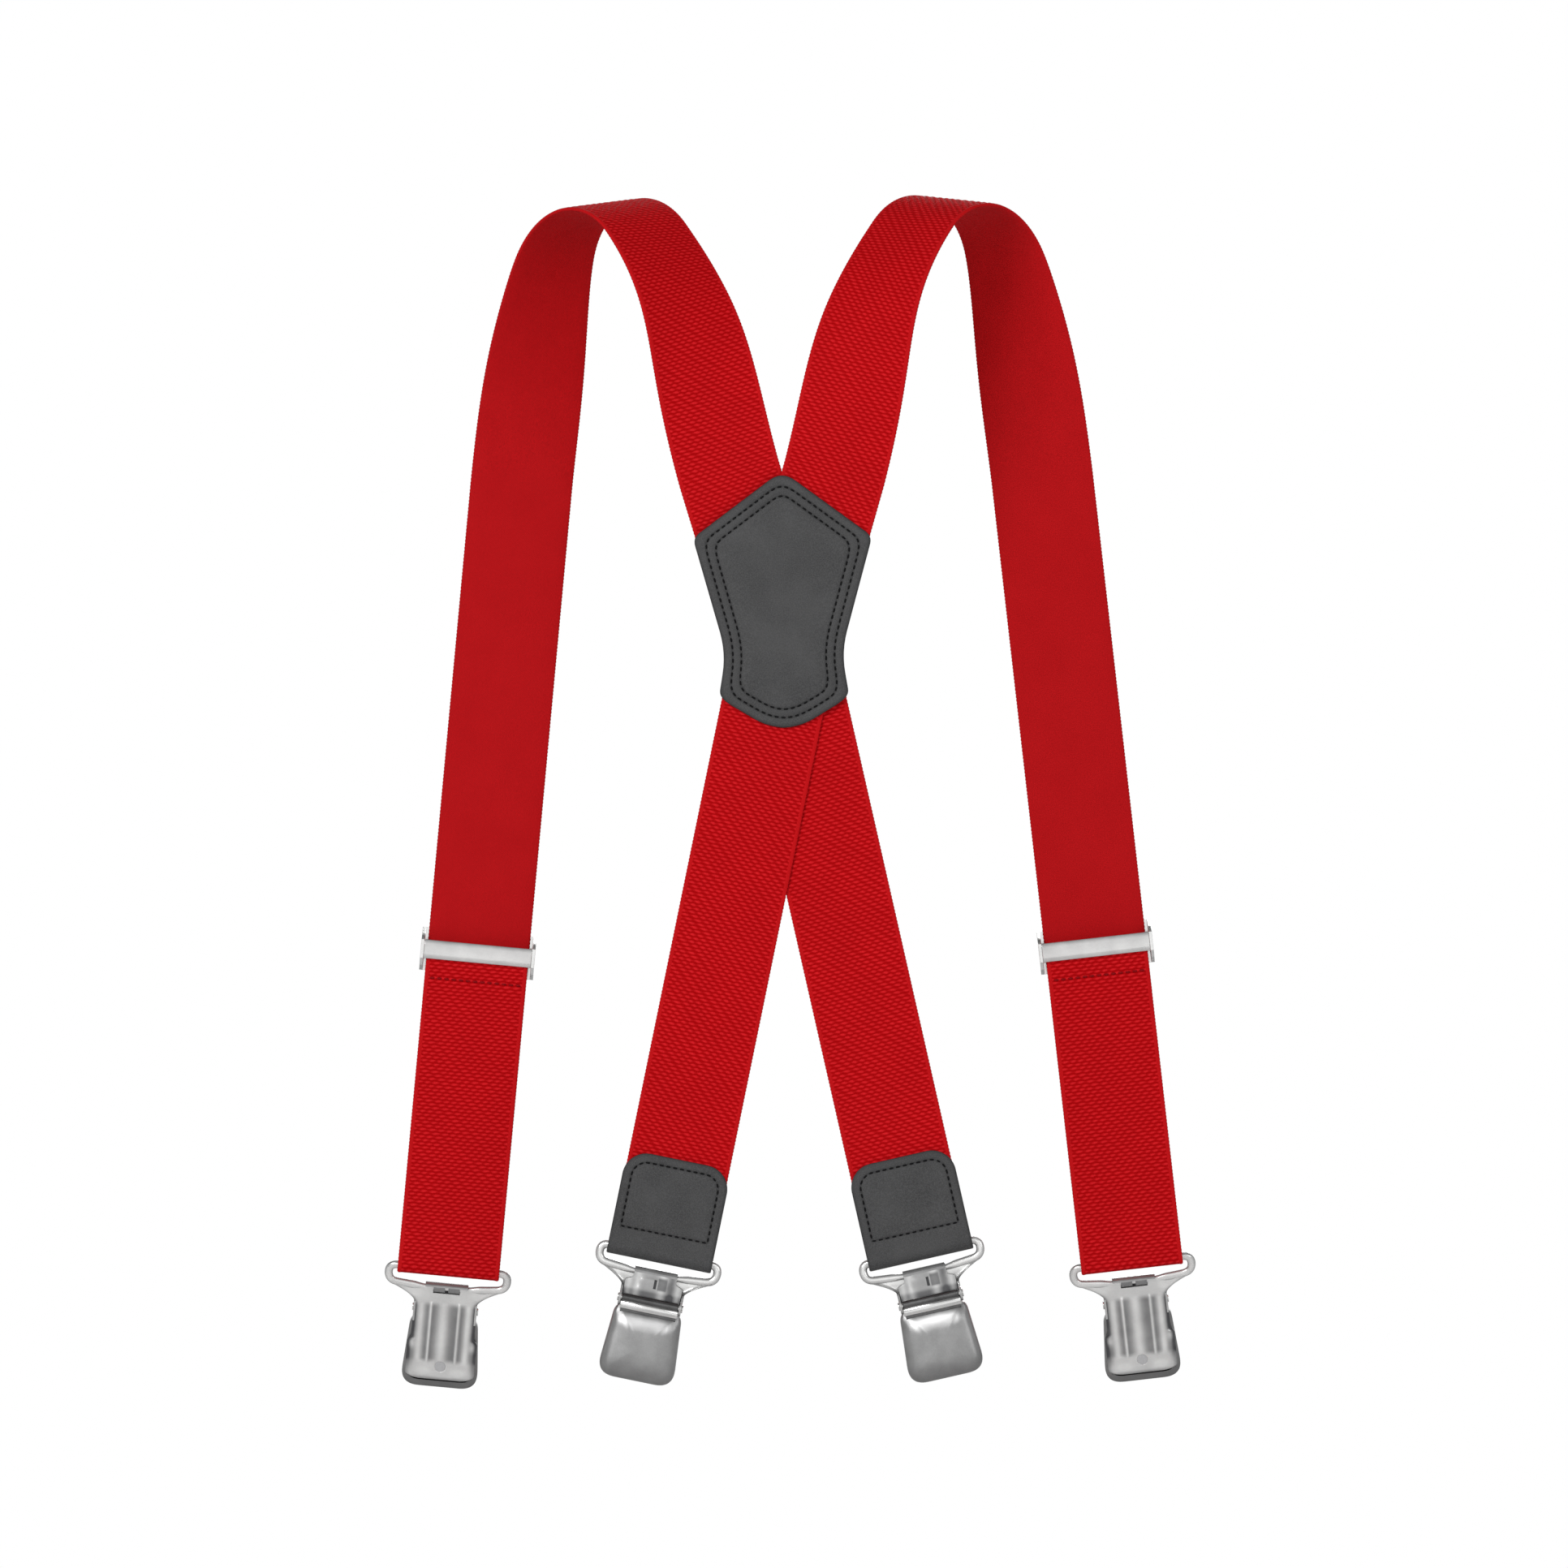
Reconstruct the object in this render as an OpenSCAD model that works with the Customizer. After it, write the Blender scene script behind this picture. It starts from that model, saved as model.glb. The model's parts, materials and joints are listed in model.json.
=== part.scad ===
// X-back suspenders. Two elastic straps cross under a leather patch at the back,
// turn over the shoulders and run down the front through a slide adjuster each.
// Four lever clips hang from the ends, the back pair in leather tabs.
//
// Frame: the origin lies midway between the undersides of the two shoulder arches,
// +Z is up, +X is the wearer's right, +Y points out of the chest, -Y out of the back.

/* [Elastic strap] */
// Width of the elastic webbing
strap_w = 38; // [30:0.5:40]
// Thickness of the elastic webbing
strap_t = 1.4; // [1:0.1:1.8]

/* [Lay of the straps] */
// Distance between the crowns of the two shoulder arches
crown_gap = 128.4; // [110:1:160]
// Radius of a shoulder arch, to the middle of the elastic
arch_r = 31.4; // [28:0.2:36]
// Turn of a shoulder arch about the vertical, in degrees
arch_turn = 42; // [25:1:55]
// Slope of the crowns down to the wearer's sides, in degrees
arch_bank = 6; // [0:1:12]
// Distance from the plane of the back straps to the plane of the front straps
depth = 56; // [50:1:72]
// Drop below the crowns over which a strap twists flat
twist_drop = 104.4; // [95:1:115]
// Drop from the crowns to the point where the straps cross
cross_drop = 166.4; // [155:1:210]
// Lean of a back strap above the crossing, in degrees
upper_lean = 16.4; // [13:0.2:20]
// Lean of a back strap below the crossing, in degrees
lower_lean = 12.2; // [9:0.2:16]
// Length of a back strap from the crossing to the bar of its clip
lower_len = 227.4; // [190:1:300]
// Distance between the front straps where they have twisted flat
front_gap = 194.4; // [180:1:230]
// Lean of a front strap, in degrees
front_lean = 5.9; // [2:0.1:9]
// Drop from the crowns to the clip bar of a front strap
front_drop = 394.4; // [360:1:480]

/* [Leather] */
// Thickness of the leather
leather_t = 1.6; // [1:0.1:2.5]
// Width of the patch across its shoulders
patch_w = 66.4; // [56:0.2:72]
// Width of the patch at its waist
patch_waist_w = 42.8; // [40:0.2:50]
// Width of the patch across its lower corners
patch_base_w = 48; // [44:0.2:56]
// Height of the patch above the crossing
patch_rise = 67.2; // [60:0.2:75]
// Height of the patch's shoulders above the crossing
patch_shoulder = 42.6; // [36:0.2:50]
// Drop of the patch's lower corners below the crossing
patch_corner_drop = 15.6; // [12:0.2:20]
// Drop of the patch's lowest point below the crossing
patch_drop = 28; // [24:0.2:40]
// Length of an end tab, from the fold to its top edge
tab_len = 39; // [32:0.5:50]
// How far an end tab stands out beside the strap
tab_edge = 0.7; // [0.2:0.1:2]
// Radius of an end tab's upper corners
tab_corner = 9; // [3:0.5:12]
// Height of the strap's sewn end above the clip bar
tab_tuck = 7; // [6:0.5:12]

/* [Slide adjusters] */
// Height of an adjuster above the bar of its clip
adjuster_up = 118; // [95:1:150]
// Height of the front plate
adjuster_h = 16; // [13:0.5:22]
// Height of the rear bar
rear_bar_h = 7; // [5:0.5:10]
// Thickness of the adjuster's sheet metal
adjuster_t = 1; // [0.8:0.1:1.4]
// Thickness of the side flanges
flange_t = 1.2; // [0.8:0.1:1.6]
// Space beside the strap in an adjuster
strap_side_gap = 1.1; // [0.5:0.1:2]
// Space between the strap and what it slides past
slide_gap = 0.3; // [0.25:0.05:0.5]
// Radius of the centre bar, which the strap's end is sewn around
centre_bar_r = 1.1; // [0.9:0.05:1.5]
// Length of the sewn-back end of the strap
sewn_len = 20; // [14:1:30]

/* [Clip body] */
// Radius of the bar that the strap or tab hangs on
bar_r = 1.5; // [1.2:0.1:1.8]
// Radial play of a bar in its fold
bar_fit = 0.05; // [0.03:0.01:0.1]
// Space at each end of the bar, beside a tab
bar_end_gap = 0.3; // [0.2:0.05:1]
// Drop from the loop bar to the lower bar
lower_bar_drop = 7.6; // [6.8:0.1:9]
// Radius of the lower bar, which the tongue hooks over
lower_bar_r = 1.1; // [1:0.05:1.15]
// Thickness of the clip's plate
plate_t = 1; // [0.8:0.1:1.2]
// Width of the plate between its ears
plate_top_w = 23.6; // [22:0.2:25]
// Width of the plate below its ears
plate_w = 26; // [25:0.2:27]
// Drop from the loop bar to the end of the plate
plate_drop = 43; // [41:0.5:44]
// Drop from the loop bar to the lever's pin
pin_drop = 18; // [17.5:0.1:18.5]
// Height of the lever's pin over the clip's middle plane
pin_out = 6.2; // [6.1:0.1:6.8]
// Radius of the lever's pin
pin_r = 1; // [0.8:0.05:1.1]
// Radial play of the lever on its pin
pin_fit = 0.03; // [0.02:0.01:0.06]

/* [Clip lever] */
// Width of the domed cover
cover_w = 29; // [28.5:0.1:31]
// Drop from the loop bar to the end of the cover
cover_drop = 47.5; // [45.5:0.5:50]
// Thickness of the cover's metal
cover_t = 0.9; // [0.7:0.1:1.1]
// Height of the dome's crown over the clip's middle plane
dome_out = 9; // [8.6:0.1:10]
// Lean of the front clips away from the wearer, in degrees
front_clip_lean = 18; // [0:1:25]

/* [Hidden] */
$fn = 48;

left = -1;
right = 1;

elastic_colour = [0.75, 0.03, 0.06];
leather_colour = [0.29, 0.29, 0.29];
nickel_colour = [0.82, 0.82, 0.84];
satin_colour = [0.62, 0.62, 0.64];
nylon_colour = [0.75, 0.75, 0.76];

// How far round from the crown the circular part of an arch reaches, to the back and front
back_exit = -45;
front_exit = 64;
// Fullness of the curves that lead from the arch to the back and the front
back_pull = 1.3;
front_pull = 0.6;
// Rings along one curved stretch of strap
curve_steps = 12;
// Short straight lead beside each curved stretch, so that the flat stretches are truly flat
lead = 5;
// The strap's neck, where a back strap starts to curve towards its arch
neck_rise = 66;
neck_lean = upper_lean - 1.4;
crown_x = crown_gap / 2;
front_y = depth / 2;

// A right-shoulder strap lies on top at the crossing, nearer the eye behind the wearer
function back_y(side) = -depth / 2 - side * strap_t / 2;

// ---- small geometry helpers ----

function unit(v) = v / norm(v);

function arc(centre, r, from, to, steps = 8) = [
    for (i = [0:steps])
        let (a = from + (to - from) * i / steps)
        centre + r * [cos(a), sin(a)]
];

function mirrored(points) = [for (i = [len(points) - 1:-1:0]) [-points[i][0], points[i][1]]];

// A corner of an outline, rounded between the points before and after it
function round_corner(before, corner, after, reach, steps = 6) =
    let (a = corner + reach * unit(before - corner))
    let (b = corner + reach * unit(after - corner))
    [for (i = [0:steps]) let (t = i / steps) (1 - t) * (1 - t) * a + 2 * t * (1 - t) * corner + t * t * b];

function rounded_box(w, low, high, r) = concat(
    arc([w / 2 - r, low + r], r, -90, 0),
    arc([w / 2 - r, high - r], r, 0, 90),
    arc([-w / 2 + r, high - r], r, 90, 180),
    arc([-w / 2 + r, low + r], r, 180, 270)
);

function hermite(p, p_way, q, q_way, fullness, t) =
    let (pull = fullness * norm(q - p))
    (2 * t * t * t - 3 * t * t + 1) * p + (t * t * t - 2 * t * t + t) * pull * p_way
    + (3 * t * t - 2 * t * t * t) * q + (t * t * t - t * t) * pull * q_way;

// A profile in the YZ plane, drawn out along X
module across(w) rotate([90, 0, 90]) linear_extrude(w, center = true) children();

// An outline in the XZ plane, drawn out along Y from y0 to y1
module upright(y0, y1) translate([0, y1, 0]) rotate([90, 0, 0]) linear_extrude(y1 - y0) children();

module rod(r, w) rotate([0, 90, 0]) cylinder(r = r, h = w, center = true);

// A flat run of sheet seen edge on, from a to b
module run(a, b, t) {
    side = t / 2 * unit([a[1] - b[1], b[0] - a[0]]);
    polygon([a + side, b + side, b - side, a - side]);
}

// ---- the straps' route ----

// How much of the turn and bank of its crown the elastic still has at height z
function twist_at(z) = pow(cos(90 * min(1, max(0, -z / twist_drop))), 2);

function arch_point(side, a) = [
    side * (crown_x + arch_r * sin(a) * sin(arch_turn)),
    arch_r * sin(a) * cos(arch_turn),
    arch_r * (cos(a) - 1) + strap_t / 2
];

function arch_way(side, a) = [
    side * cos(a) * sin(arch_turn), cos(a) * cos(arch_turn), -sin(a)
];

function lower_way(side) = [side * sin(lower_lean), 0, cos(lower_lean)];
function upper_way(side) = [side * sin(upper_lean), 0, cos(upper_lean)];
function neck_way(side) = [side * sin(neck_lean), 0, cos(neck_lean)];
function front_way(side) = [side * sin(front_lean), 0, -cos(front_lean)];

function crossing(side) = [0, back_y(side), -cross_drop];
function neck(side) = crossing(side) + neck_rise * upper_way(side) / cos(upper_lean);
function front_top(side) = [side * front_gap / 2, front_y, -twist_drop];
front_len = (front_drop - twist_drop) / cos(front_lean);

// A strap's middle line, from its end in the tab, over the shoulder, down to `up` above the bar
function strap_route(side, up) = concat(
    [
        crossing(side) - (lower_len - tab_tuck) * lower_way(side),
        crossing(side) - lead * lower_way(side),
        crossing(side) + lead * upper_way(side),
        neck(side) - lead * upper_way(side)
    ],
    [
        for (i = [0:curve_steps - 1])
            hermite(neck(side), neck_way(side), arch_point(side, back_exit),
                arch_way(side, back_exit), back_pull, i / curve_steps)
    ],
    [
        for (i = [0:curve_steps])
            arch_point(side, back_exit + (front_exit - back_exit) * i / curve_steps)
    ],
    [
        for (i = [1:curve_steps])
            hermite(arch_point(side, front_exit), arch_way(side, front_exit), front_top(side),
                front_way(side), front_pull, i / curve_steps)
    ],
    [
        front_top(side) + lead * front_way(side),
        front_top(side) + (front_len - up) * front_way(side)
    ]
);

// The four corners of the elastic's section at one point of its route
function section(side, p, way) =
    let (turn = arch_turn * twist_at(p[2]))
    let (bank = arch_bank * twist_at(p[2]))
    let (flat = [cos(bank) * cos(turn), -side * cos(bank) * sin(turn), -side * sin(bank)])
    let (wide = unit(flat - (flat * way) * way) * strap_w / 2)
    let (thick = unit(cross(way, wide)) * strap_t / 2)
    [p - wide - thick, p + wide - thick, p + wide + thick, p - wide + thick];

module elastic(side, up) {
    route = strap_route(side, up);
    last = len(route) - 1;
    corners = [
        for (i = [0:last])
            section(side, route[i], unit(route[min(i + 1, last)] - route[max(i - 1, 0)]))
    ];
    walls = [
        for (i = [0:last - 1])
            for (k = [0:3])
                let (n = (k + 1) % 4)
                each [
                    [4 * i + k, 4 * i + n, 4 * i + 4 + n],
                    [4 * i + k, 4 * i + 4 + n, 4 * i + 4 + k]
                ]
    ];
    foot = 4 * last;
    ends = [[2, 1, 0], [3, 2, 0], [foot, foot + 1, foot + 2], [foot, foot + 2, foot + 3]];
    polyhedron([for (ring = corners) each ring], concat(walls, ends));
}

// ---- frames that the lower pieces are drawn in ----

// Origin on a front strap's middle plane at the height of its clip bar, Z up along the strap
module front_frame(side)
    translate(front_top(side) + front_len * front_way(side))
    rotate([0, -side * front_lean, 0])
    children();

// Origin on the bar of a front clip, +Y towards its lever
module front_clip_frame(side)
    front_frame(side)
    translate([0, -fold_r, 0])
    rotate([front_clip_lean, 0, 0])
    children();

// Origin on the bar of a back clip, +Y towards its lever. The left clip ends the right strap.
module back_clip_frame(side)
    translate(crossing(-side) - lower_len * lower_way(-side))
    rotate([0, side * lower_lean, 180])
    children();

// ---- elastic ----

// Height above the clip bar at which the lower stretch of the front strap starts
lower_split = 70;
// Radius of the elastic's middle where it folds round a clip bar
fold_r = bar_r + bar_fit + strap_t / 2;
// The layer of elastic that comes back up from the clip
return_y = -2 * fold_r;
// Where the strap's end is sewn round the centre bar
centre_bar_y = -(strap_t / 2 + slide_gap + strap_t + bar_fit + centre_bar_r);
wrap_r = centre_bar_r + bar_fit + strap_t / 2;
end_split = adjuster_up - sewn_len;
// The sewn-back end sinks this far into the layer it is sewn to
sewn_sink = 0.1;

module strap(side) color(elastic_colour) elastic(side, lower_split);

module strap_lower(side)
    color(elastic_colour)
    front_frame(side)
    translate([-strap_w / 2, -strap_t / 2, 0])
    cube([strap_w, strap_t, lower_split]);

module strap_fold(side)
    color(elastic_colour)
    front_frame(side)
    translate([0, -fold_r, 0])
    half_tube(bar_r + bar_fit, strap_t, strap_w);

// The lower half of a tube along X, open upwards
module half_tube(inner_r, t, w)
    across(w)
    difference() {
        circle(inner_r + t);
        circle(inner_r);
        translate([-2 * (inner_r + t), 0]) square(4 * (inner_r + t));
    }

module strap_return(side)
    color(elastic_colour)
    front_frame(side)
    translate([-strap_w / 2, return_y - strap_t / 2, 0])
    cube([strap_w, strap_t, end_split]);

module strap_end(side) {
    bend_z = adjuster_up - sewn_len / 2;
    flap_y = return_y + strap_t - sewn_sink;
    color(elastic_colour)
    front_frame(side)
    across(strap_w) {
        run([return_y, end_split], [return_y, bend_z], strap_t);
        run([return_y, bend_z], [centre_bar_y - wrap_r, adjuster_up], strap_t);
        difference() {
            translate([centre_bar_y, adjuster_up]) circle(wrap_r + strap_t / 2);
            translate([centre_bar_y, adjuster_up]) circle(wrap_r - strap_t / 2);
            translate([centre_bar_y - 2 * adjuster_h, adjuster_up - 4 * adjuster_h])
                square(4 * adjuster_h);
        }
        run([centre_bar_y + wrap_r, adjuster_up], [flap_y, bend_z], strap_t);
        run([flap_y, bend_z], [flap_y, end_split + strap_t], strap_t);
    }
}

// ---- leather ----

// How far the chamfer beside each lower corner of the patch reaches in and down
patch_heel = 3;
// The patch's rounded lowest stretch: its half width, and its rise at the ends
patch_foot_w = 7;
patch_foot_rise = 1;

patch_right = [
    [patch_w / 2, patch_shoulder],
    [patch_waist_w / 2, 0],
    [patch_base_w / 2, -patch_corner_drop],
    [patch_base_w / 2 - patch_heel, -patch_corner_drop - patch_heel],
    [patch_foot_w, patch_foot_rise - patch_drop]
];
patch_corners = concat([[0, patch_rise]], patch_right, [[0, -patch_drop]], mirrored(patch_right));
// How far from each corner its rounding starts
patch_reach_right = [3, 6, 2, 2, 5];
patch_reach = concat([6], patch_reach_right, [2], [for (i = [4:-1:0]) patch_reach_right[i]]);

module patch_outline() {
    count = len(patch_corners);
    polygon([
        for (i = [0:count - 1])
            each round_corner(
                patch_corners[(i + count - 1) % count],
                patch_corners[i],
                patch_corners[(i + 1) % count],
                patch_reach[i]
            )
    ]);
}

module patch(y0)
    color(leather_colour)
    translate([0, 0, -cross_drop])
    upright(y0, y0 + leather_t)
    patch_outline();

outer_patch_y = -depth / 2 - strap_t - leather_t;
inner_patch_y = -depth / 2 + strap_t;

// A piece of leather folded round the clip bar and sewn over both faces of the strap's end
module tab(side) {
    inner_r = bar_r + bar_fit;
    fold_y = inner_r + leather_t / 2;
    sewn_y = strap_t / 2 + leather_t / 2;
    top = tab_len - inner_r - leather_t;
    w = strap_w + 2 * tab_edge;
    color(leather_colour)
    back_clip_frame(side)
    intersection() {
        union() {
            half_tube(inner_r, leather_t, w);
            across(w)
                for (face = [-1, 1]) {
                    run([face * fold_y, 0], [face * sewn_y, tab_tuck], leather_t);
                    run([face * sewn_y, tab_tuck], [face * sewn_y, top], leather_t);
                }
        }
        upright(-2 * fold_y, 2 * fold_y)
            polygon(concat(
                [[-w / 2, -2 * fold_y], [w / 2, -2 * fold_y]],
                arc([w / 2 - tab_corner, top - tab_corner], tab_corner, 0, 90),
                arc([-w / 2 + tab_corner, top - tab_corner], tab_corner, 90, 180)
            ));
    }
}

// ---- slide adjuster ----

plate_y = strap_t / 2 + slide_gap;
rear_bar_y = centre_bar_y - wrap_r - strap_t / 2 - slide_gap;
adjuster_in = strap_w / 2 + strap_side_gap;
rivet_play = 0.01;

// Front plate with its two side flanges folded back
module adjuster_frame(side)
    color(nickel_colour)
    front_frame(side)
    translate([0, 0, adjuster_up])
    difference() {
        union() {
            translate([-adjuster_in, plate_y, -adjuster_h / 2])
                cube([2 * adjuster_in, adjuster_t, adjuster_h]);
            for (x = [-adjuster_in - flange_t / 2, adjuster_in + flange_t / 2])
                translate([x, 0, 0])
                across(flange_t)
                polygon([
                    [plate_y + adjuster_t, -adjuster_h / 2],
                    [plate_y + adjuster_t, adjuster_h / 2],
                    [0, adjuster_h / 2],
                    [rear_bar_y - adjuster_t, rear_bar_h / 2],
                    [rear_bar_y - adjuster_t, -rear_bar_h / 2],
                    [0, -adjuster_h / 2]
                ]);
        }
        translate([0, centre_bar_y, 0]) rod(centre_bar_r + rivet_play, 4 * strap_w);
    }

// Slightly crowned strip across the back of the adjuster
module adjuster_rear_bar(side)
    color(nickel_colour)
    front_frame(side)
    translate([0, 0, adjuster_up])
    across(2 * adjuster_in)
    polygon([
        [rear_bar_y, -rear_bar_h / 2],
        [rear_bar_y, rear_bar_h / 2],
        [rear_bar_y - adjuster_t / 2, rear_bar_h / 2],
        [rear_bar_y - adjuster_t, rear_bar_h / 4],
        [rear_bar_y - adjuster_t, -rear_bar_h / 4],
        [rear_bar_y - adjuster_t / 2, -rear_bar_h / 2]
    ]);

module adjuster_centre_bar(side)
    color(nickel_colour)
    front_frame(side)
    translate([0, centre_bar_y, adjuster_up])
    rod(centre_bar_r, 2 * (adjuster_in + flange_t));

// ---- clip, drawn in its own frame: loop bar along X at the origin, lever on the +Y side ----

// The loop is a stamped band, from ring_back to ring_front in depth
ring_back = -1.2;
ring_front = 0.9;
plate_front = ring_back + plate_t;
loop_corner_r = 2.2;
// The band is a little slimmer than the bar it carries
arm_half = bar_r - 0.1;
loop_side = 1.2;
loop_heel_r = 3.2;
bar_half = strap_w / 2 + tab_edge + bar_end_gap;
corner_centre = [bar_half, -loop_corner_r];
heel_centre = corner_centre + [loop_corner_r - loop_heel_r, -loop_side];
web_z = -lower_bar_drop + lower_bar_r;
// The loop's heels run down into the plate's shoulders
heel_turn = 60;
web_in = 2;
bar_head = 0.2;
shoulder_z = -13.2;
// Cut between the arms, above the plate
crotch_drop = 2.6;
crotch_in = 1;
crotch_half = 9.5;
widen_z = -27.5;
widen_slope = 1.5;
plate_corner_r = 3;
// The tongue's curl over the lower bar, and the window behind it
curl_w = 16;
curl_t = 0.8;
curl_fit = 0.05;
window_side = 0.3;
window_over = 0.2;
lower_bar_root = 0.5;
curl_r = lower_bar_r + curl_fit + curl_t;
window_low = -lower_bar_drop - curl_r - window_side;
// Ears that carry the lever's pin
ear_t = 0.8;
ear_r = 2.6;
ear_top = shoulder_z - 0.3;
ear_low = -21.2;
ear_foot = 1;
ear_in = plate_top_w / 2 - ear_t;
// Riveted head on each end of the pin, as high as it is thick
pin_head_t = 0.5;
// Ribs pressed into the plate
rib_r = 0.75;
rib_x = 5.1;
rib_top = -13.5;
rib_low = -36.5;
// Grip pad and its peg
peg_r = 1.85;
peg_z = -38.4;
peg_play = 0.02;
pad_w = 21;
pad_top = -30.5;
pad_low = -41.5;
pad_t = 0.9;
pad_rib_r = 0.15;
pad_rib_pitch = 2;
pad_corner_r = 2;
peg_root = 0.2;

function ring_outer() = concat(
    arc(corner_centre, loop_corner_r + arm_half, 90, 0),
    arc(heel_centre, loop_heel_r + arm_half, 0, -heel_turn),
    [[plate_top_w / 2, shoulder_z]]
);

function ring_inner() = concat(
    arc(corner_centre, loop_corner_r - arm_half, 90, 0),
    arc(heel_centre, loop_heel_r - arm_half, 0, -heel_turn),
    [[bar_half - web_in, web_z]]
);

module whole(half) polygon(concat(half, mirrored(half)));

module clip_loop() {
    upright(ring_back, ring_front)
        difference() {
            whole(ring_outer());
            whole(ring_inner());
            translate([-bar_half, -2 * bar_r]) square([2 * bar_half, 4 * bar_r]);
            whole([[bar_half - web_in - 1, web_z - crotch_drop], [crotch_half, shoulder_z - crotch_in]]);
        }
    upright(ring_back, plate_front)
        whole([
            [bar_half - web_in, web_z],
            heel_centre + (loop_heel_r + arm_half) * [cos(heel_turn), -sin(heel_turn)],
            [plate_top_w / 2, shoulder_z]
        ]);
    rod(bar_r, 2 * (bar_half + bar_head));
}

module clip_plate()
    upright(ring_back, plate_front)
    whole(concat(
        [
            [plate_top_w / 2, shoulder_z + crotch_in],
            [plate_top_w / 2, widen_z],
            [plate_w / 2, widen_z - widen_slope]
        ],
        arc([plate_w / 2 - plate_corner_r, plate_corner_r - plate_drop], plate_corner_r, 0, -90)
    ));

module clip_ears()
    for (x = [-ear_in - ear_t / 2, ear_in + ear_t / 2])
        translate([x, 0, 0])
        across(ear_t) {
            polygon([
                [ring_back, ear_top],
                [plate_front + ear_foot, ear_top],
                [pin_out, ear_r - pin_drop],
                [pin_out, -ear_r - pin_drop],
                [plate_front + ear_foot, ear_low],
                [ring_back, ear_low]
            ]);
            translate([pin_out, -pin_drop]) circle(ear_r);
        }

module clip_ribs()
    for (x = [-rib_x, rib_x])
        translate([x, ring_back, rib_low]) {
            cylinder(r = rib_r, h = rib_top - rib_low);
            sphere(rib_r);
            translate([0, 0, rib_top - rib_low]) sphere(rib_r);
        }

module clip_body()
    color(nickel_colour)
    difference() {
        union() {
            difference() {
                union() {
                    clip_loop();
                    clip_plate();
                }
                translate([-curl_w / 2 - window_side, 2 * ring_back, window_low])
                    cube([curl_w + 2 * window_side, 4 * ring_front, web_z + window_over - window_low]);
            }
            translate([0, 0, -lower_bar_drop]) rod(lower_bar_r, curl_w + 2 * (window_side + lower_bar_root));
            clip_ears();
            clip_ribs();
        }
        translate([0, pin_out, -pin_drop]) rod(pin_r + rivet_play, 2 * plate_w);
        translate([0, 0, peg_z]) rotate([90, 0, 0])
            cylinder(r = peg_r + peg_play, h = 4 * plate_t, center = true);
    }

module clip_pin()
    color(nickel_colour)
    translate([0, pin_out, -pin_drop]) {
        rod(pin_r, plate_top_w);
        for (x = [-plate_top_w / 2 - pin_head_t / 2, plate_top_w / 2 + pin_head_t / 2])
            translate([x, 0, 0]) rod(pin_r + pin_head_t, pin_head_t);
    }

module clip_pad()
    color(nylon_colour) {
        upright(plate_front, plate_front + pad_t) polygon(rounded_box(pad_w, pad_low, pad_top, pad_corner_r));
        translate([0, 0, peg_z]) rotate([90, 0, 0])
            translate([0, 0, -plate_front - peg_root]) cylinder(r = peg_r, h = plate_t + peg_root);
        for (z = [pad_low + pad_rib_pitch:pad_rib_pitch:pad_top - 1])
            translate([0, plate_front + pad_t, z]) rod(pad_rib_r, pad_w - 2 * pad_corner_r);
    }

// Spring tongue: hooks over the lower bar and presses cloth against the pad
tongue_side_gap = 0.3;
tongue_w = 2 * (ear_in - tongue_side_gap);
tongue_back = lower_bar_r + curl_fit;
tongue_end = -42.4;
// The neck below the curl, and where it has widened to the tongue's full width
neck_drop = 2;
widen_drop = 3.5;
// Teeth at the tongue's end
tooth_count = 5;
tooth_root = 1.6;
tooth_tip = 0.8;
tooth_h = 0.9;
tooth_lift = 0.5;

module clip_tongue()
    color(nickel_colour) {
        translate([0, 0, -lower_bar_drop])
            across(curl_w)
            difference() {
                circle(curl_r);
                circle(curl_r - curl_t);
                polygon([[0, 0], [4 * curl_r, 0], [4 * curl_r, -4 * curl_r], [-4 * curl_r, -4 * curl_r]]);
            }
        upright(tongue_back, tongue_back + curl_t)
            whole([
                [curl_w / 2, -lower_bar_drop],
                [curl_w / 2, -lower_bar_drop - neck_drop],
                [tongue_w / 2, -lower_bar_drop - widen_drop],
                [tongue_w / 2, tongue_end]
            ]);
        for (i = [0:tooth_count - 1])
            translate([(i - (tooth_count - 1) / 2) * tongue_w / tooth_count, 0, tongue_end])
            upright(plate_front + tooth_lift, tongue_back + curl_t)
            polygon([[-tooth_root, 0], [tooth_root, 0], [tooth_tip, -tooth_h], [-tooth_tip, -tooth_h]]);
    }

// Lever: a cam roll on the pin, a neck, and the domed cover
roll_t = 0.7;
roll_r = pin_r + roll_t;
roll_side_gap = 0.4;
roll_w = 2 * (ear_in - roll_side_gap);
cam_reach = 3.2;
cam_tip_r = 0.55;
neck_w = roll_w - 0.4;
neck_back = pin_out + pin_r + 0.15;
neck_join = pin_out + 0.4;
neck_rise_z = 1.5;
// The cover starts this far below the pin, and its rim faces the plate
cover_gap = 3.9;
cover_top = -pin_drop - cover_gap;
cover_back = 2;
cover_corner = 5;
// Cut in the cover's top wall that clears the ears
ear_clear = 0.4;
neck_cut_w = plate_top_w + 2 * ear_clear;
neck_cut_drop = 0.6;
neck_cut_h = 4;
// Steps of the dome: how far each is in from the rim all round, and below the crown
dome_steps = [[0, 3.4], [1.2, 1.4], [3.5, 0.3], [7, 0]];
dome_step_t = 0.1;
dome_corners = [0, 0.8, 2, 3];

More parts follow.
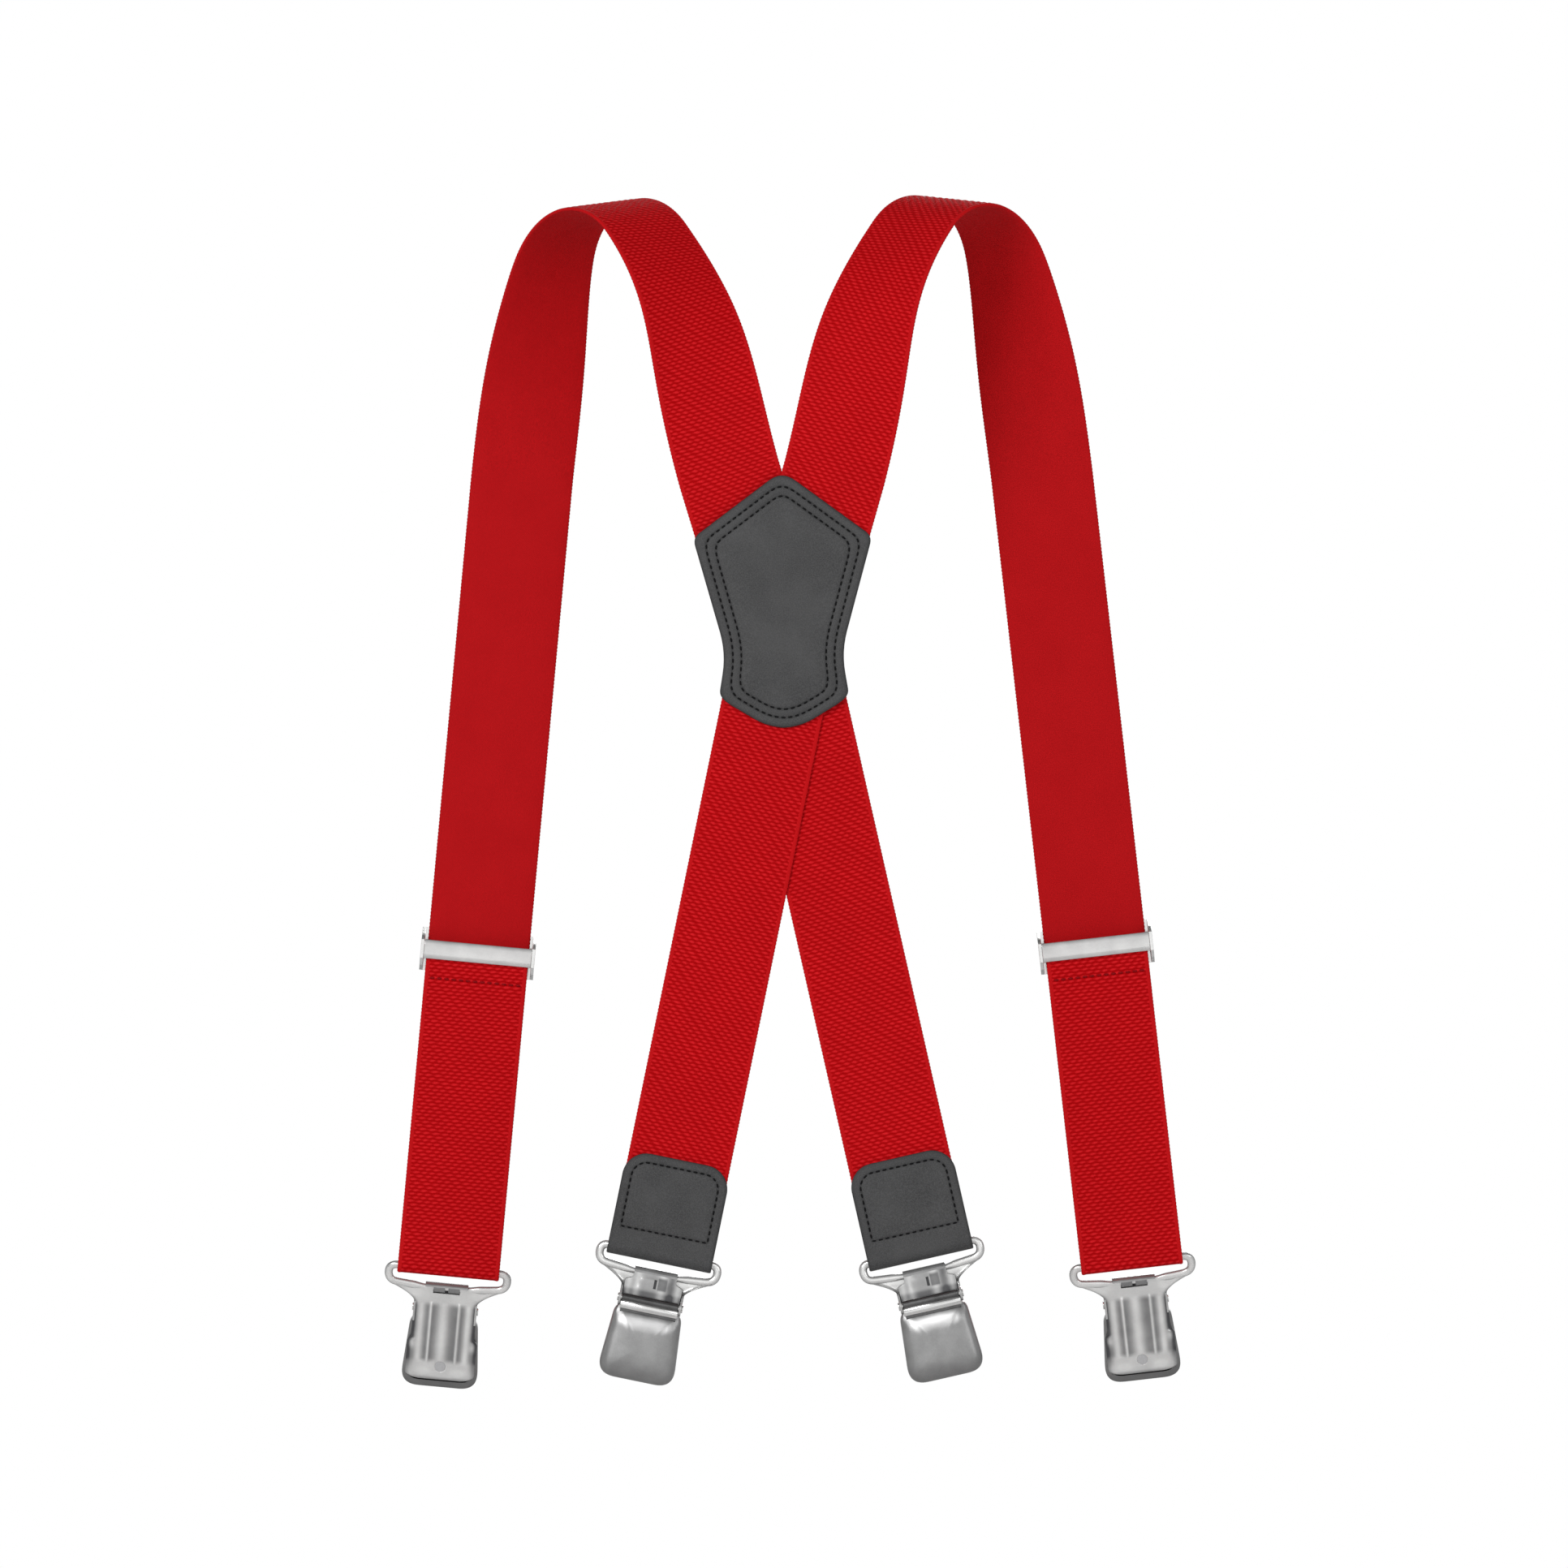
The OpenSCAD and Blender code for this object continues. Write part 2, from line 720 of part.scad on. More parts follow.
module dome(inset) {
    rim_top = dome_out - dome_steps[0][1] - inset;
    hull()
        for (i = [0:len(dome_steps) - 1]) {
            step_in = inset + dome_steps[i][0];
            top = dome_out - dome_steps[i][1] - inset;
            upright(i == 0 ? cover_back : top - dome_step_t, i == 0 ? rim_top : top)
                polygon(rounded_box(
                    cover_w - 2 * step_in,
                    -cover_drop + step_in,
                    cover_top - step_in,
                    cover_corner - inset - dome_corners[i]
                ));
        }
}

module clip_lever()
    color(satin_colour) {
        difference() {
            dome(0);
            translate([0, -0.01, 0]) dome(cover_t);
            translate([-neck_cut_w / 2, 0, cover_top - cover_t - neck_cut_drop])
                cube([neck_cut_w, neck_join, neck_cut_h]);
        }
        translate([0, pin_out, -pin_drop])
            across(roll_w)
            difference() {
                union() {
                    circle(roll_r);
                    polygon([[0, roll_r], [0, -roll_r], [-cam_reach, -cam_tip_r], [-cam_reach, cam_tip_r]]);
                    translate([-cam_reach, 0]) circle(cam_tip_r);
                }
                circle(pin_r + pin_fit);
            }
        across(neck_w)
            polygon([
                [neck_back, -pin_drop],
                [pin_out + roll_r, -pin_drop],
                [pin_out + roll_r, cover_top - cover_t],
                [neck_join, cover_top - cover_t],
                [neck_join, cover_top],
                [neck_back, cover_top + neck_rise_z]
            ]);
    }

// ---- the parts ----

strap(left);  // left_strap
strap(right);  // right_strap
patch(outer_patch_y);  // outer_patch
patch(inner_patch_y);  // inner_patch
tab(left);  // left_tab
tab(right);  // right_tab
strap_lower(left);  // left_strap_lower
strap_lower(right);  // right_strap_lower
strap_fold(left);  // left_strap_fold
strap_fold(right);  // right_strap_fold
strap_return(left);  // left_strap_return
strap_return(right);  // right_strap_return
strap_end(left);  // left_strap_end
strap_end(right);  // right_strap_end
adjuster_frame(left);  // left_adjuster_frame
adjuster_frame(right);  // right_adjuster_frame
adjuster_rear_bar(left);  // left_adjuster_rear_bar
adjuster_rear_bar(right);  // right_adjuster_rear_bar
adjuster_centre_bar(left);  // left_adjuster_centre_bar
adjuster_centre_bar(right);  // right_adjuster_centre_bar
back_clip_frame(left) clip_body();  // back_left_clip_body
back_clip_frame(left) clip_tongue();  // back_left_clip_tongue
back_clip_frame(left) clip_lever();  // back_left_clip_lever
back_clip_frame(left) clip_pin();  // back_left_clip_pin
back_clip_frame(left) clip_pad();  // back_left_clip_pad
back_clip_frame(right) clip_body();  // back_right_clip_body
back_clip_frame(right) clip_tongue();  // back_right_clip_tongue
back_clip_frame(right) clip_lever();  // back_right_clip_lever
back_clip_frame(right) clip_pin();  // back_right_clip_pin
back_clip_frame(right) clip_pad();  // back_right_clip_pad
front_clip_frame(left) clip_body();  // front_left_clip_body
front_clip_frame(left) clip_tongue();  // front_left_clip_tongue
front_clip_frame(left) clip_lever();  // front_left_clip_lever
front_clip_frame(left) clip_pin();  // front_left_clip_pin
front_clip_frame(left) clip_pad();  // front_left_clip_pad
front_clip_frame(right) clip_body();  // front_right_clip_body
front_clip_frame(right) clip_tongue();  // front_right_clip_tongue
front_clip_frame(right) clip_lever();  // front_right_clip_lever
front_clip_frame(right) clip_pin();  // front_right_clip_pin
front_clip_frame(right) clip_pad();  // front_right_clip_pad
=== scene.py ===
import json
import math
import bpy
import bmesh
import numpy as np
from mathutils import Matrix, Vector


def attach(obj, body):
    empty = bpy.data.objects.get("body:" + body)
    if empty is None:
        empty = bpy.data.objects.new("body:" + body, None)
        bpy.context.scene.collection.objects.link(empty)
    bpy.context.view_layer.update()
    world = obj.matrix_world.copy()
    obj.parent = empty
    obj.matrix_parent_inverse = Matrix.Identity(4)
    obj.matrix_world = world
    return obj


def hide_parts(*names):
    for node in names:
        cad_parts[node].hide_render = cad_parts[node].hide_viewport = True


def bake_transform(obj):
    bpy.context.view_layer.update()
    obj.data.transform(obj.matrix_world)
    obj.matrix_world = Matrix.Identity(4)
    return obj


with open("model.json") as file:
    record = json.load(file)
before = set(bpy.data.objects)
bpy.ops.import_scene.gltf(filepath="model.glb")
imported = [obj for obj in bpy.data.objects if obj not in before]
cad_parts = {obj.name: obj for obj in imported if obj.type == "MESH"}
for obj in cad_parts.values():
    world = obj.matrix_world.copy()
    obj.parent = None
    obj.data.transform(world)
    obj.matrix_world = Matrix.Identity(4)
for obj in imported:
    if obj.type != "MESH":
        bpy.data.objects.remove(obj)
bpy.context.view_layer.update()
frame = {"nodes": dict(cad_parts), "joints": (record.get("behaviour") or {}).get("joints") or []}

mm = 0.001
left, right = -1, 1
sideNames = {left: "left", right: "right"}
joints = {j["name"]: j for j in frame["joints"]}


# shader wiring

class Wire:
    # one socket of a material; arithmetic on it adds Math nodes
    def __init__(self, paint, socket):
        self.paint = paint
        self.socket = socket

    def math(self, operation, *others):
        return self.paint.node("ShaderNodeMath", {"operation": operation},
                               dict(enumerate((self, *others))))

    def __add__(self, other): return self.math("ADD", other)
    def __sub__(self, other): return self.math("SUBTRACT", other)
    def __mul__(self, other): return self.math("MULTIPLY", other)
    def __truediv__(self, other): return self.math("DIVIDE", other)
    def __radd__(self, other): return self.math("ADD", other)
    def __rmul__(self, other): return self.math("MULTIPLY", other)
    def __rsub__(self, other): return self.paint.value("SUBTRACT", other, self)
    def __rtruediv__(self, other): return self.paint.value("DIVIDE", other, self)
    def __gt__(self, other): return self.math("GREATER_THAN", other)
    def __lt__(self, other): return self.math("LESS_THAN", other)


class Graph:
    # makes and joins the nodes of one material or sky
    def __init__(self, tree):
        self.tree = tree

    def node(self, kind, settings, values, out=0):
        made = self.tree.nodes.new(kind)
        for key, setting in settings.items():
            if key == "stops":
                ramp = made.color_ramp
                for i, (place, colour) in enumerate(setting):
                    stop = ramp.elements[i] if i < 2 else ramp.elements.new(place)
                    stop.position, stop.color = place, (*colour, 1)
            else:
                setattr(made, key, setting)
        for key, given in values.items():
            if isinstance(given, Wire):
                self.tree.links.new(given.socket, made.inputs[key])
            else:
                made.inputs[key].default_value = given
        return Wire(self, made.outputs[out])

    def value(self, operation, *given):
        return self.node("ShaderNodeMath", {"operation": operation}, dict(enumerate(given)))

    def blend(self, share, first, second):
        first, second = [(*c, 1) if isinstance(c, tuple) else c for c in (first, second)]
        return self.node("ShaderNodeMix", {"data_type": "RGBA"}, {0: share, 6: first, 7: second}, 2)

    def ramp(self, share, low, high):
        return self.node("ShaderNodeMapRange", {"clamp": True},
                         {"Value": share, "From Min": low, "From Max": high})


class Paint(Graph):
    # a material under construction
    def __init__(self, name, **shader):
        self.material = bpy.data.materials.new(name)
        self.material.use_nodes = True
        super().__init__(self.material.node_tree)
        self.shader = self.tree.nodes["Principled BSDF"]
        for socketName, fixed in shader.items():
            self.shader.inputs[socketName.replace("_", " ")].default_value = fixed

    def lay(self):
        # what each piece stores at its points: where on the elastic or leather, or the painted light and shade
        # on metal
        place = self.node("ShaderNodeAttribute", {"attribute_name": "lay"}, {}, "Vector")
        return [self.node("ShaderNodeSeparateXYZ", {}, {0: place}, i) for i in range(3)]

    def noise(self, scale, detail=3.0, rough=0.5, stretch=(1, 1, 1)):
        place = self.node("ShaderNodeTexCoord", {}, {}, "Object")
        if stretch != (1, 1, 1):
            place = self.node("ShaderNodeVectorMath", {"operation": "MULTIPLY"}, {0: place, 1: stretch})
        return self.node("ShaderNodeTexNoise", {},
                         {"Vector": place, "Scale": scale, "Detail": detail, "Roughness": rough})

    def bump(self, height, distance, strength=1.0, under=None):
        values = {"Height": height, "Distance": distance, "Strength": strength}
        if under:
            values["Normal"] = under
        return self.node("ShaderNodeBump", {}, values)

    def use(self, **links):
        for socketName, wire in links.items():
            self.tree.links.new(wire.socket, self.shader.inputs[socketName.replace("_", " ")])
        return self.material


# elastic

weave = {
    "rowPitch": 1.35,       # one row of pebbles to the next, mm
    "pebblePitch": 3.2,     # one pebble to the next along its row, mm
    "rowShift": -0.46,      # how far each row is staggered, in pebbles
    "selvedge": 1.7,        # smooth border on each side, mm
    "relief": 0.28,         # height of a pebble, mm
    "sway": 0.12,           # waviness of a row, mm
    "stray": 0.75,          # how irregularly the pebbles lie, and the two rates of it
    "strayAcross": 0.41,
    "strayAlong": 0.83,
    "low": 0.58,            # mean height of a row, as a share of its pebbles
    "notch": 0.10,          # scallop of the edge from row to row, mm
    "ribPitch": 0.62,       # fine ribs and rungs of the inner face, mm
    "rungPitch": 0.5,
    # deep, bright: colours of the painted shade in the valleys and of the painted highlight on the pebbles'
    # tops
    "deep": (0.46, 0.0006, 0.0022),
    "bright": (0.78, 0.015, 0.021),
    "border": (0.62, 0.0075, 0.0105),
    "inside": (0.57, 0.0085, 0.0115),
}


rowRings = 3    # rings of points in one row of pebbles
ringStep = weave["rowPitch"] / rowRings


def elasticPaint():
    w = weave
    p = Paint("redElastic", Specular_IOR_Level=0.04, Sheen_Weight=0.015, Sheen_Roughness=0.4,
              Sheen_Tint=(1.0, 0.25, 0.25, 1))
    across, along, face = p.lay()
    rows = along / w["rowPitch"]
    row = rows.math("FLOOR")
    hump = ((rows - row) * math.pi).math("SINE")
    stray = (across * w["strayAcross"] + row * w["strayAlong"]).math("SINE") * w["stray"]
    turn = (across / w["pebblePitch"] - row * w["rowShift"]) * (2 * math.pi) + stray
    pebble = hump * (turn.math("COSINE") * (1 - w["low"]) + w["low"])
    outer = face > 0.0
    middle = across.math("ABSOLUTE") < (weaveHalf() + 0.2)
    mottle = p.noise(90, 2)
    yarn = p.noise(2600, 2, 0.6)
    # painted light and shade: pebble tops and the middle of each row lighter, the valleys between rows darker
    lit = ((rows - row) * (2 * math.pi)).math("COSINE") * -0.18
    shade = p.ramp(pebble + lit + (yarn - 0.5) * 0.45, 0.12, 0.95)
    woven = p.blend(shade, w["deep"], w["bright"])
    woven = p.blend(middle, w["border"], woven)
    ribs = (across * (2 * math.pi / w["ribPitch"])).math("SINE")
    rungs = (along * (2 * math.pi / w["rungPitch"])).math("SINE")
    knit = ribs * rungs
    plain = p.blend(p.ramp(knit * 0.2 + yarn, 0.2, 0.9),
                    tuple(c * 0.70 for c in w["inside"]), tuple(c * 1.24 for c in w["inside"]))
    colour = p.blend(outer, plain, woven)
    colour = p.blend(p.ramp(mottle, 0.3, 0.75) * 0.14, colour, (0.33, 0.001, 0.003))
    fine = outer * (yarn * 0.9 + ribs * 0.12) + (1 - outer) * (knit * 0.3 + yarn * 0.7)
    return p.use(Base_Color=colour, Roughness=p.ramp(yarn, 0.1, 0.9) * 0.2 + 0.58,
                 Normal=p.bump(fine, 0.00012, 0.7))


# leather, thread and metal

def leatherPaint():
    p = Paint("greyLeather", Specular_IOR_Level=0.3, Sheen_Weight=0.03)
    depth, groove = p.lay()[:2]
    grain = p.node("ShaderNodeTexVoronoi", {"feature": "DISTANCE_TO_EDGE"},
                   {"Vector": p.node("ShaderNodeTexCoord", {}, {}, "Object"), "Scale": 1500.0})
    pores = p.noise(2400, 3, 0.65)
    cloud = p.noise(70, 3)
    # random worn patches in the leather's own tone
    wearAndShade = p.ramp(cloud, 0.35, 0.7)
    colour = p.blend(wearAndShade, (0.042, 0.042, 0.043), (0.066, 0.066, 0.067))
    colour = p.blend(p.ramp(pores, 0.38, 0.72) * 0.55, colour, (0.130, 0.130, 0.132))
    # painted shade: the stitch grooves are darkened
    colour = p.blend(groove * 0.45, colour, (0.012, 0.012, 0.013))
    colour = p.blend((1 - p.ramp(depth, 0.0, 1.3)) * 0.6, colour, (0.018, 0.018, 0.019))
    height = p.ramp(grain, 0.0, 0.25) * 0.6 + pores * 0.5
    return p.use(Base_Color=colour, Roughness=p.ramp(pores + cloud, 0.6, 1.4) * 0.22 + 0.44,
                 Normal=p.bump(height, 0.00010, 0.55))


def threadPaint(name, colour):
    p = Paint(name, Sheen_Weight=0.02, Specular_IOR_Level=0.1)
    twist = p.noise(3800, 2)
    dark = tuple(c * 0.5 for c in colour)
    return p.use(Base_Color=p.blend(p.ramp(twist, 0.3, 0.7), dark, colour),
                 Roughness=twist * 0.2 + 0.5, Normal=p.bump(twist, 0.00012, 0.8))


def metalPaint(name, bright, dull, smooth, rough, brushed=0.0, wearAndShade=None, paintedGlint=None, metallic=1.0):
    # the colour for hollows is painted shade in hollows and at edges; the extra bright colour is a painted
    # highlight where the painted light is highest
    p = Paint(name, Metallic=metallic, Specular_IOR_Level=0.5)
    cloud = p.noise(160, 4)
    fine = p.noise(2200, 3, 0.6)
    marks = p.noise(500, 2, 0.5, (1.0, 1.0, 0.06))
    share = p.ramp(cloud * 0.6 + fine * 0.4, 0.35, 0.65)
    colour = p.blend(share, dull, bright)
    if wearAndShade:
        # painted light and shade stored at each point, made a little uneven
        paintedLight = p.lay()[0] + (cloud - 0.5) * 0.2
        colour = p.blend(p.ramp(paintedLight, 0.0, 1.0), wearAndShade, colour)
        if paintedGlint:
            colour = p.blend(p.ramp(paintedLight, 0.98, 1.7), colour, paintedGlint)
    return p.use(Base_Color=colour,
                 Roughness=p.ramp(cloud * 0.5 + marks * 0.5, 0.3, 0.7) * (rough - smooth) + smooth,
                 Normal=p.bump(fine + marks * brushed, 0.00003, 0.25))


def nylonPaint():
    p = Paint("greyNylon", Specular_IOR_Level=0.4)
    grain = p.noise(1800, 3)
    return p.use(Base_Color=p.blend(grain, (0.44, 0.44, 0.45), (0.58, 0.58, 0.59)),
                 Roughness=grain * 0.2 + 0.4, Normal=p.bump(grain, 0.00005, 0.4))


def weaveHalf():
    return strap["width"] / 2 - weave["selvedge"]


# the straps' route, in mm, with the same sizes as the part

strap = {
    "width": 38.0, "thick": 1.4, "depth": 56.0,
    "crownGap": 128.4, "archR": 31.4, "archTurn": 42.0, "archBank": 6.0, "twistDrop": 104.4,
    "crossDrop": 166.4, "upperLean": 16.4, "neckLean": 15.0, "neckRise": 66.0,
    "lowerLean": 12.2, "lowerLen": 227.4, "tuck": 7.0,
    "frontGap": 194.4, "frontLean": 5.9, "frontDrop": 394.4,
    "backExit": -45.0, "frontExit": 64.0, "backPull": 1.3, "frontPull": 0.6,
    "adjusterUp": 118.0, "sewnLen": 20.0,
}


def unit(v):
    return v / np.linalg.norm(v)


def bell(x, middle, spread):
    return np.exp(-((x - middle) / spread) ** 2)


def rise(x, low, high):
    t = np.clip((x - low) / (high - low), 0, 1)
    return t * t * (3 - 2 * t)


def lean(degrees, side=1, down=1):
    a = math.radians(degrees)
    return np.array([side * math.sin(a), 0.0, down * math.cos(a)])


def hermite(p, pWay, q, qWay, fullness, t):
    pull = fullness * np.linalg.norm(q - p)
    t = t[:, None]
    return ((2 * t**3 - 3 * t**2 + 1) * p + (t**3 - 2 * t**2 + t) * pull * pWay
            + (3 * t**2 - 2 * t**3) * q + (t**3 - t**2) * pull * qWay)


def archPoint(side, degrees):
    s, a, b = strap, np.radians(degrees), math.radians(strap["archTurn"])
    return np.stack([side * (s["crownGap"] / 2 + s["archR"] * np.sin(a) * math.sin(b)),
                     s["archR"] * np.sin(a) * math.cos(b),
                     s["archR"] * (np.cos(a) - 1) + s["thick"] / 2], -1)


def archWay(side, degrees):
    a, b = math.radians(degrees), math.radians(strap["archTurn"])
    return np.array([side * math.cos(a) * math.sin(b), math.cos(a) * math.cos(b), -math.sin(a)])


def backLine(side):
    # middle of the elastic from the tab up to the crown
    s = strap
    crossing = np.array([0.0, -s["depth"] / 2 - side * s["thick"] / 2, -s["crossDrop"]])
    low = crossing - (s["lowerLen"] - s["tuck"]) * lean(s["lowerLean"], side)
    neck = crossing + s["neckRise"] / math.cos(math.radians(s["upperLean"])) * lean(s["upperLean"], side)
    curve = hermite(neck, lean(s["neckLean"], side), archPoint(side, s["backExit"]),
                    archWay(side, s["backExit"]), s["backPull"], np.linspace(0, 1, 60))
    arch = archPoint(side, np.linspace(s["backExit"], 0, 40))
    return np.vstack([[low], [crossing - 5 * lean(s["lowerLean"], side)],
                      [crossing + 5 * lean(s["upperLean"], side)], curve, arch[1:]])


def frontTop(side):
    return np.array([side * strap["frontGap"] / 2, strap["depth"] / 2, -strap["twistDrop"]])


def frontFoot(side):
    # level with the clip's bar, on the main layer of the elastic
    s = strap
    run = (s["frontDrop"] - s["twistDrop"]) / math.cos(math.radians(s["frontLean"]))
    return frontTop(side) + run * lean(s["frontLean"], side, -1)


def frontLine(side):
    s = strap
    arch = archPoint(side, np.linspace(0, s["frontExit"], 40))
    curve = hermite(archPoint(side, s["frontExit"]), archWay(side, s["frontExit"]), frontTop(side),
                    lean(s["frontLean"], side, -1), s["frontPull"], np.linspace(0, 1, 60))
    return np.vstack([arch, curve[1:], [frontFoot(side)]])


def lengths(line):
    # how far along the line each of its points lies
    return np.concatenate([[0], np.cumsum(np.linalg.norm(np.diff(line, axis=0), axis=1))])


def pointsAt(at, line):
    run = lengths(line)
    return np.stack([np.interp(at, run, column) for column in line.T], -1)


def walk(line, step):
    # the same line again with a point every step, and its eased directions
    total = lengths(line)[-1]
    places = pointsAt(np.linspace(0, total, max(2, int(round(total / step)) + 1)), line)
    ways = np.gradient(places, axis=0)
    reach = 9
    padded = np.vstack([np.repeat(ways[:1], reach, 0), ways, np.repeat(ways[-1:], reach, 0)])
    ways = np.stack([np.convolve(padded[:, k], np.ones(2 * reach + 1), "valid") for k in range(3)], -1)
    ways /= np.linalg.norm(ways, axis=1)[:, None]
    return places, ways


def wornFrame(side, places, ways):
    # width and outward directions of the elastic as it turns over the shoulder
    share = np.cos(np.radians(90 * np.clip(-places[:, 2] / strap["twistDrop"], 0, 1))) ** 2
    turn, bank = np.radians(strap["archTurn"]) * share, np.radians(strap["archBank"]) * share
    flat = np.stack([np.cos(bank) * np.cos(turn), -side * np.cos(bank) * np.sin(turn),
                     -side * np.sin(bank)], -1)
    wide = flat - (flat * ways).sum(1)[:, None] * ways
    wide /= np.linalg.norm(wide, axis=1)[:, None]
    return wide, -np.cross(ways, wide)


# meshes

def storeLay(mesh, lay):
    stored = mesh.attributes.new("lay", "FLOAT_VECTOR", "POINT")
    stored.data.foreach_set("vector", np.asarray(lay, np.float32).ravel())


def addObject(name, data):
    made = bpy.data.objects.new(name, data)
    bpy.context.scene.collection.objects.link(made)
    return made


def meshPiece(name, verts, faces, material, lay=None):
    mesh = bpy.data.meshes.new(name)
    mesh.from_pydata([tuple(v) for v in verts], [], [tuple(f) for f in faces])
    mesh.polygons.foreach_set("use_smooth", [True] * len(mesh.polygons))
    if lay is not None:
        storeLay(mesh, lay)
    mesh.materials.append(material)
    mesh.update()
    return addObject(name, mesh)


def gridFaces(rings, around, closed=True, flip=False):
    i, k = np.meshgrid(np.arange(rings - 1), np.arange(around if closed else around - 1), indexing="ij")
    n = (k + 1) % around
    quads = np.stack([i * around + k, i * around + n, (i + 1) * around + n, (i + 1) * around + k], -1)
    quads = quads.reshape(-1, 4)
    return quads[:, ::-1] if flip else quads


def ribbon(name, places, wide, out, material, ways=None, ends=(True, True)):
    # a band of elastic: pebbled outside, rounded edges, smooth inside; ends: False where it meets another
    w, half, thick = weave, strap["width"] / 2, strap["thick"] / 2
    field = np.linspace(-weaveHalf(), weaveHalf(), 49)
    edge = [(weaveHalf() + 0.25, thick - 0.14), (half - 0.75, thick - 0.02), (half - 0.28, thick - 0.16),
            (half - 0.04, 0.25), (half - 0.04, -0.25), (half - 0.28, 0.16 - thick)]
    inner = [(x, -thick) for x in np.linspace(half - 0.9, 0.9 - half, 9)]
    section = ([(x, thick - 0.17, 1, 1) for x in field] + [(x, n, 0, 1 if n > 0 else -1) for x, n in edge]
               + [(x, n, 0, -1) for x, n in inner]
               + [(-x, n, 0, 1 if n > 0 else -1) for x, n in reversed(edge)])
    section = np.array(section)
    u, n, woven, face = section.T
    count = len(places)
    ring = np.arange(count)
    # pebbles die away towards a seam, so that two pieces meet flush
    relief = np.ones(count)
    if not ends[0]:
        relief *= rise(ring, 0, rowRings)
    if not ends[1]:
        relief *= rise(count - 1 - ring, 0, rowRings)
    relief = relief[:, None]
    row, phase = ring // rowRings, ring % rowRings
    stray = w["stray"] * np.sin(w["strayAcross"] * u[None, :] + w["strayAlong"] * row[:, None])
    turn = 2 * math.pi * (u[None, :] / w["pebblePitch"] - w["rowShift"] * row[:, None]) + stray
    fade = np.clip((weaveHalf() - np.abs(u)) / 0.6, 0, 1) * woven
    hump = np.where(phase > 0, 1.0, 0.0)[:, None] * (w["low"] + (1 - w["low"]) * np.cos(turn))
    lift = relief * w["relief"] * hump * fade
    sway = relief * w["sway"] * np.sin(turn) * fade
    scallop = np.where(phase == 0, -1.0, 0.5)[:, None] * relief
    notch = np.where(np.abs(u) > half - 0.3, w["notch"], 0.0) * scallop
    if ways is None:
        ways = np.cross(wide, out)
    across = u[None, :] + np.sign(u)[None, :] * notch
    verts = (places[:, None, :] + across[..., None] * wide[:, None, :]
             + (n[None, :] + lift)[..., None] * out[:, None, :] + sway[..., None] * ways[:, None, :])
    lay = np.stack([np.broadcast_to(u, (count, len(u))),
                    np.broadcast_to((ring * ringStep)[:, None], (count, len(u))),
                    np.broadcast_to(face, (count, len(u)))], -1)
    faces = []
    addTube(faces, 0, count, len(u))
    piece = meshPiece(name, verts.reshape(-1, 3) * mm, faces, material, lay.reshape(-1, 3))
    facesOut(piece)
    sharpen(piece, 75)
    return piece


def addTube(faces, first, rings, around):
    # sides and both caps of rings of points that begin at first
    last = first + (rings - 1) * around
    faces += [tuple(first + i for i in f) for f in gridFaces(rings, around)]
    faces.append(tuple(first + k for k in range(around))[::-1])
    faces.append(tuple(last + k for k in range(around)))


def facesOut(piece):
    bm = bmesh.new()
    bm.from_mesh(piece.data)
    bmesh.ops.remove_doubles(bm, verts=bm.verts, dist=1e-7)
    bmesh.ops.recalc_face_normals(bm, faces=bm.faces)
    bm.to_mesh(piece.data)
    bm.free()


def sharpen(piece, degrees):
    # smooth shading that breaks at edges sharper than this
    mesh = piece.data
    mesh.polygons.foreach_set("use_smooth", [True] * len(mesh.polygons))
    mesh.set_sharp_from_angle(angle=math.radians(degrees))


def arcPoints(centre, r, start, end, steps):
    a = np.radians(np.linspace(start, end, steps))
    return np.stack([centre[0] + r * np.cos(a), centre[1] + r * np.sin(a)], -1)


def roundedLoop(corners, radii, steps=7):
    # closed outline with each corner eased by a quadratic curve
    points = []
    corners = [np.array(c, float) for c in corners]
    for i, c in enumerate(corners):
        before, after = corners[i - 1], corners[(i + 1) % len(corners)]
        a, b = c + radii[i] * unit(before - c), c + radii[i] * unit(after - c)
        for t in np.linspace(0, 1, steps):
            points.append((1 - t) ** 2 * a + 2 * t * (1 - t) * c + t * t * b)
    return np.array(points)


def evenLoop(points, step):
    closed = np.vstack([points, points[:1]])
    total = lengths(closed)[-1]
    return pointsAt(np.linspace(0, total, int(total / step) + 1)[:-1], closed)


def loopDistance(points, loop):
    a, b = loop, np.roll(loop, -1, 0)
    ab = b - a
    t = ((points[:, None] - a) * ab).sum(-1) / ((ab * ab).sum(-1) + 1e-12)
    near = a + np.clip(t, 0, 1)[..., None] * ab
    return np.linalg.norm(points[:, None] - near, axis=-1).min(1)


def eased(loop, times):
    for _ in range(times):
        loop = 0.5 * loop + 0.25 * (np.roll(loop, 1, 0) + np.roll(loop, -1, 0))
    return loop


def insetLoops(loop, centre, depths, soften=0):
    # for each depth, the loop moved inwards by that much along rays to the centre
    t = np.linspace(0, 0.999, 160)
    rays = loop[:, None] + t[None, :, None] * (np.array(centre) - loop)[:, None]
    away = loopDistance(rays.reshape(-1, 2), loop).reshape(len(loop), -1)
    away = np.maximum.accumulate(away, axis=1)
    rings = []
    for d in depths:
        share = np.array([np.interp(d, row, t) for row in away])
        ring = loop + share[:, None] * (np.array(centre) - loop)
        rings.append(eased(ring, int(soften * min(1.0, d / 2.5))))
    return rings


def inSide(points):
    # side-view points (Y, Z) as points in space, on the middle plane
    return np.insert(np.asarray(points, float), 0, 0.0, axis=1)


def frameOf(origin, x, y, z):
    return [np.array(v, float) for v in (origin, x, y, z)]


def placed(local, place):
    origin, x, y, z = place
    local = np.asarray(local, float)
    return origin + local[..., :1] * x + local[..., 1:2] * y + local[..., 2:3] * z


# frames, from the joints

clipSizes = {"pinOut": 6.2, "pinDrop": 18.0, "barR": 1.5, "fit": 0.05}
foldR = clipSizes["barR"] + clipSizes["fit"] + strap["thick"] / 2


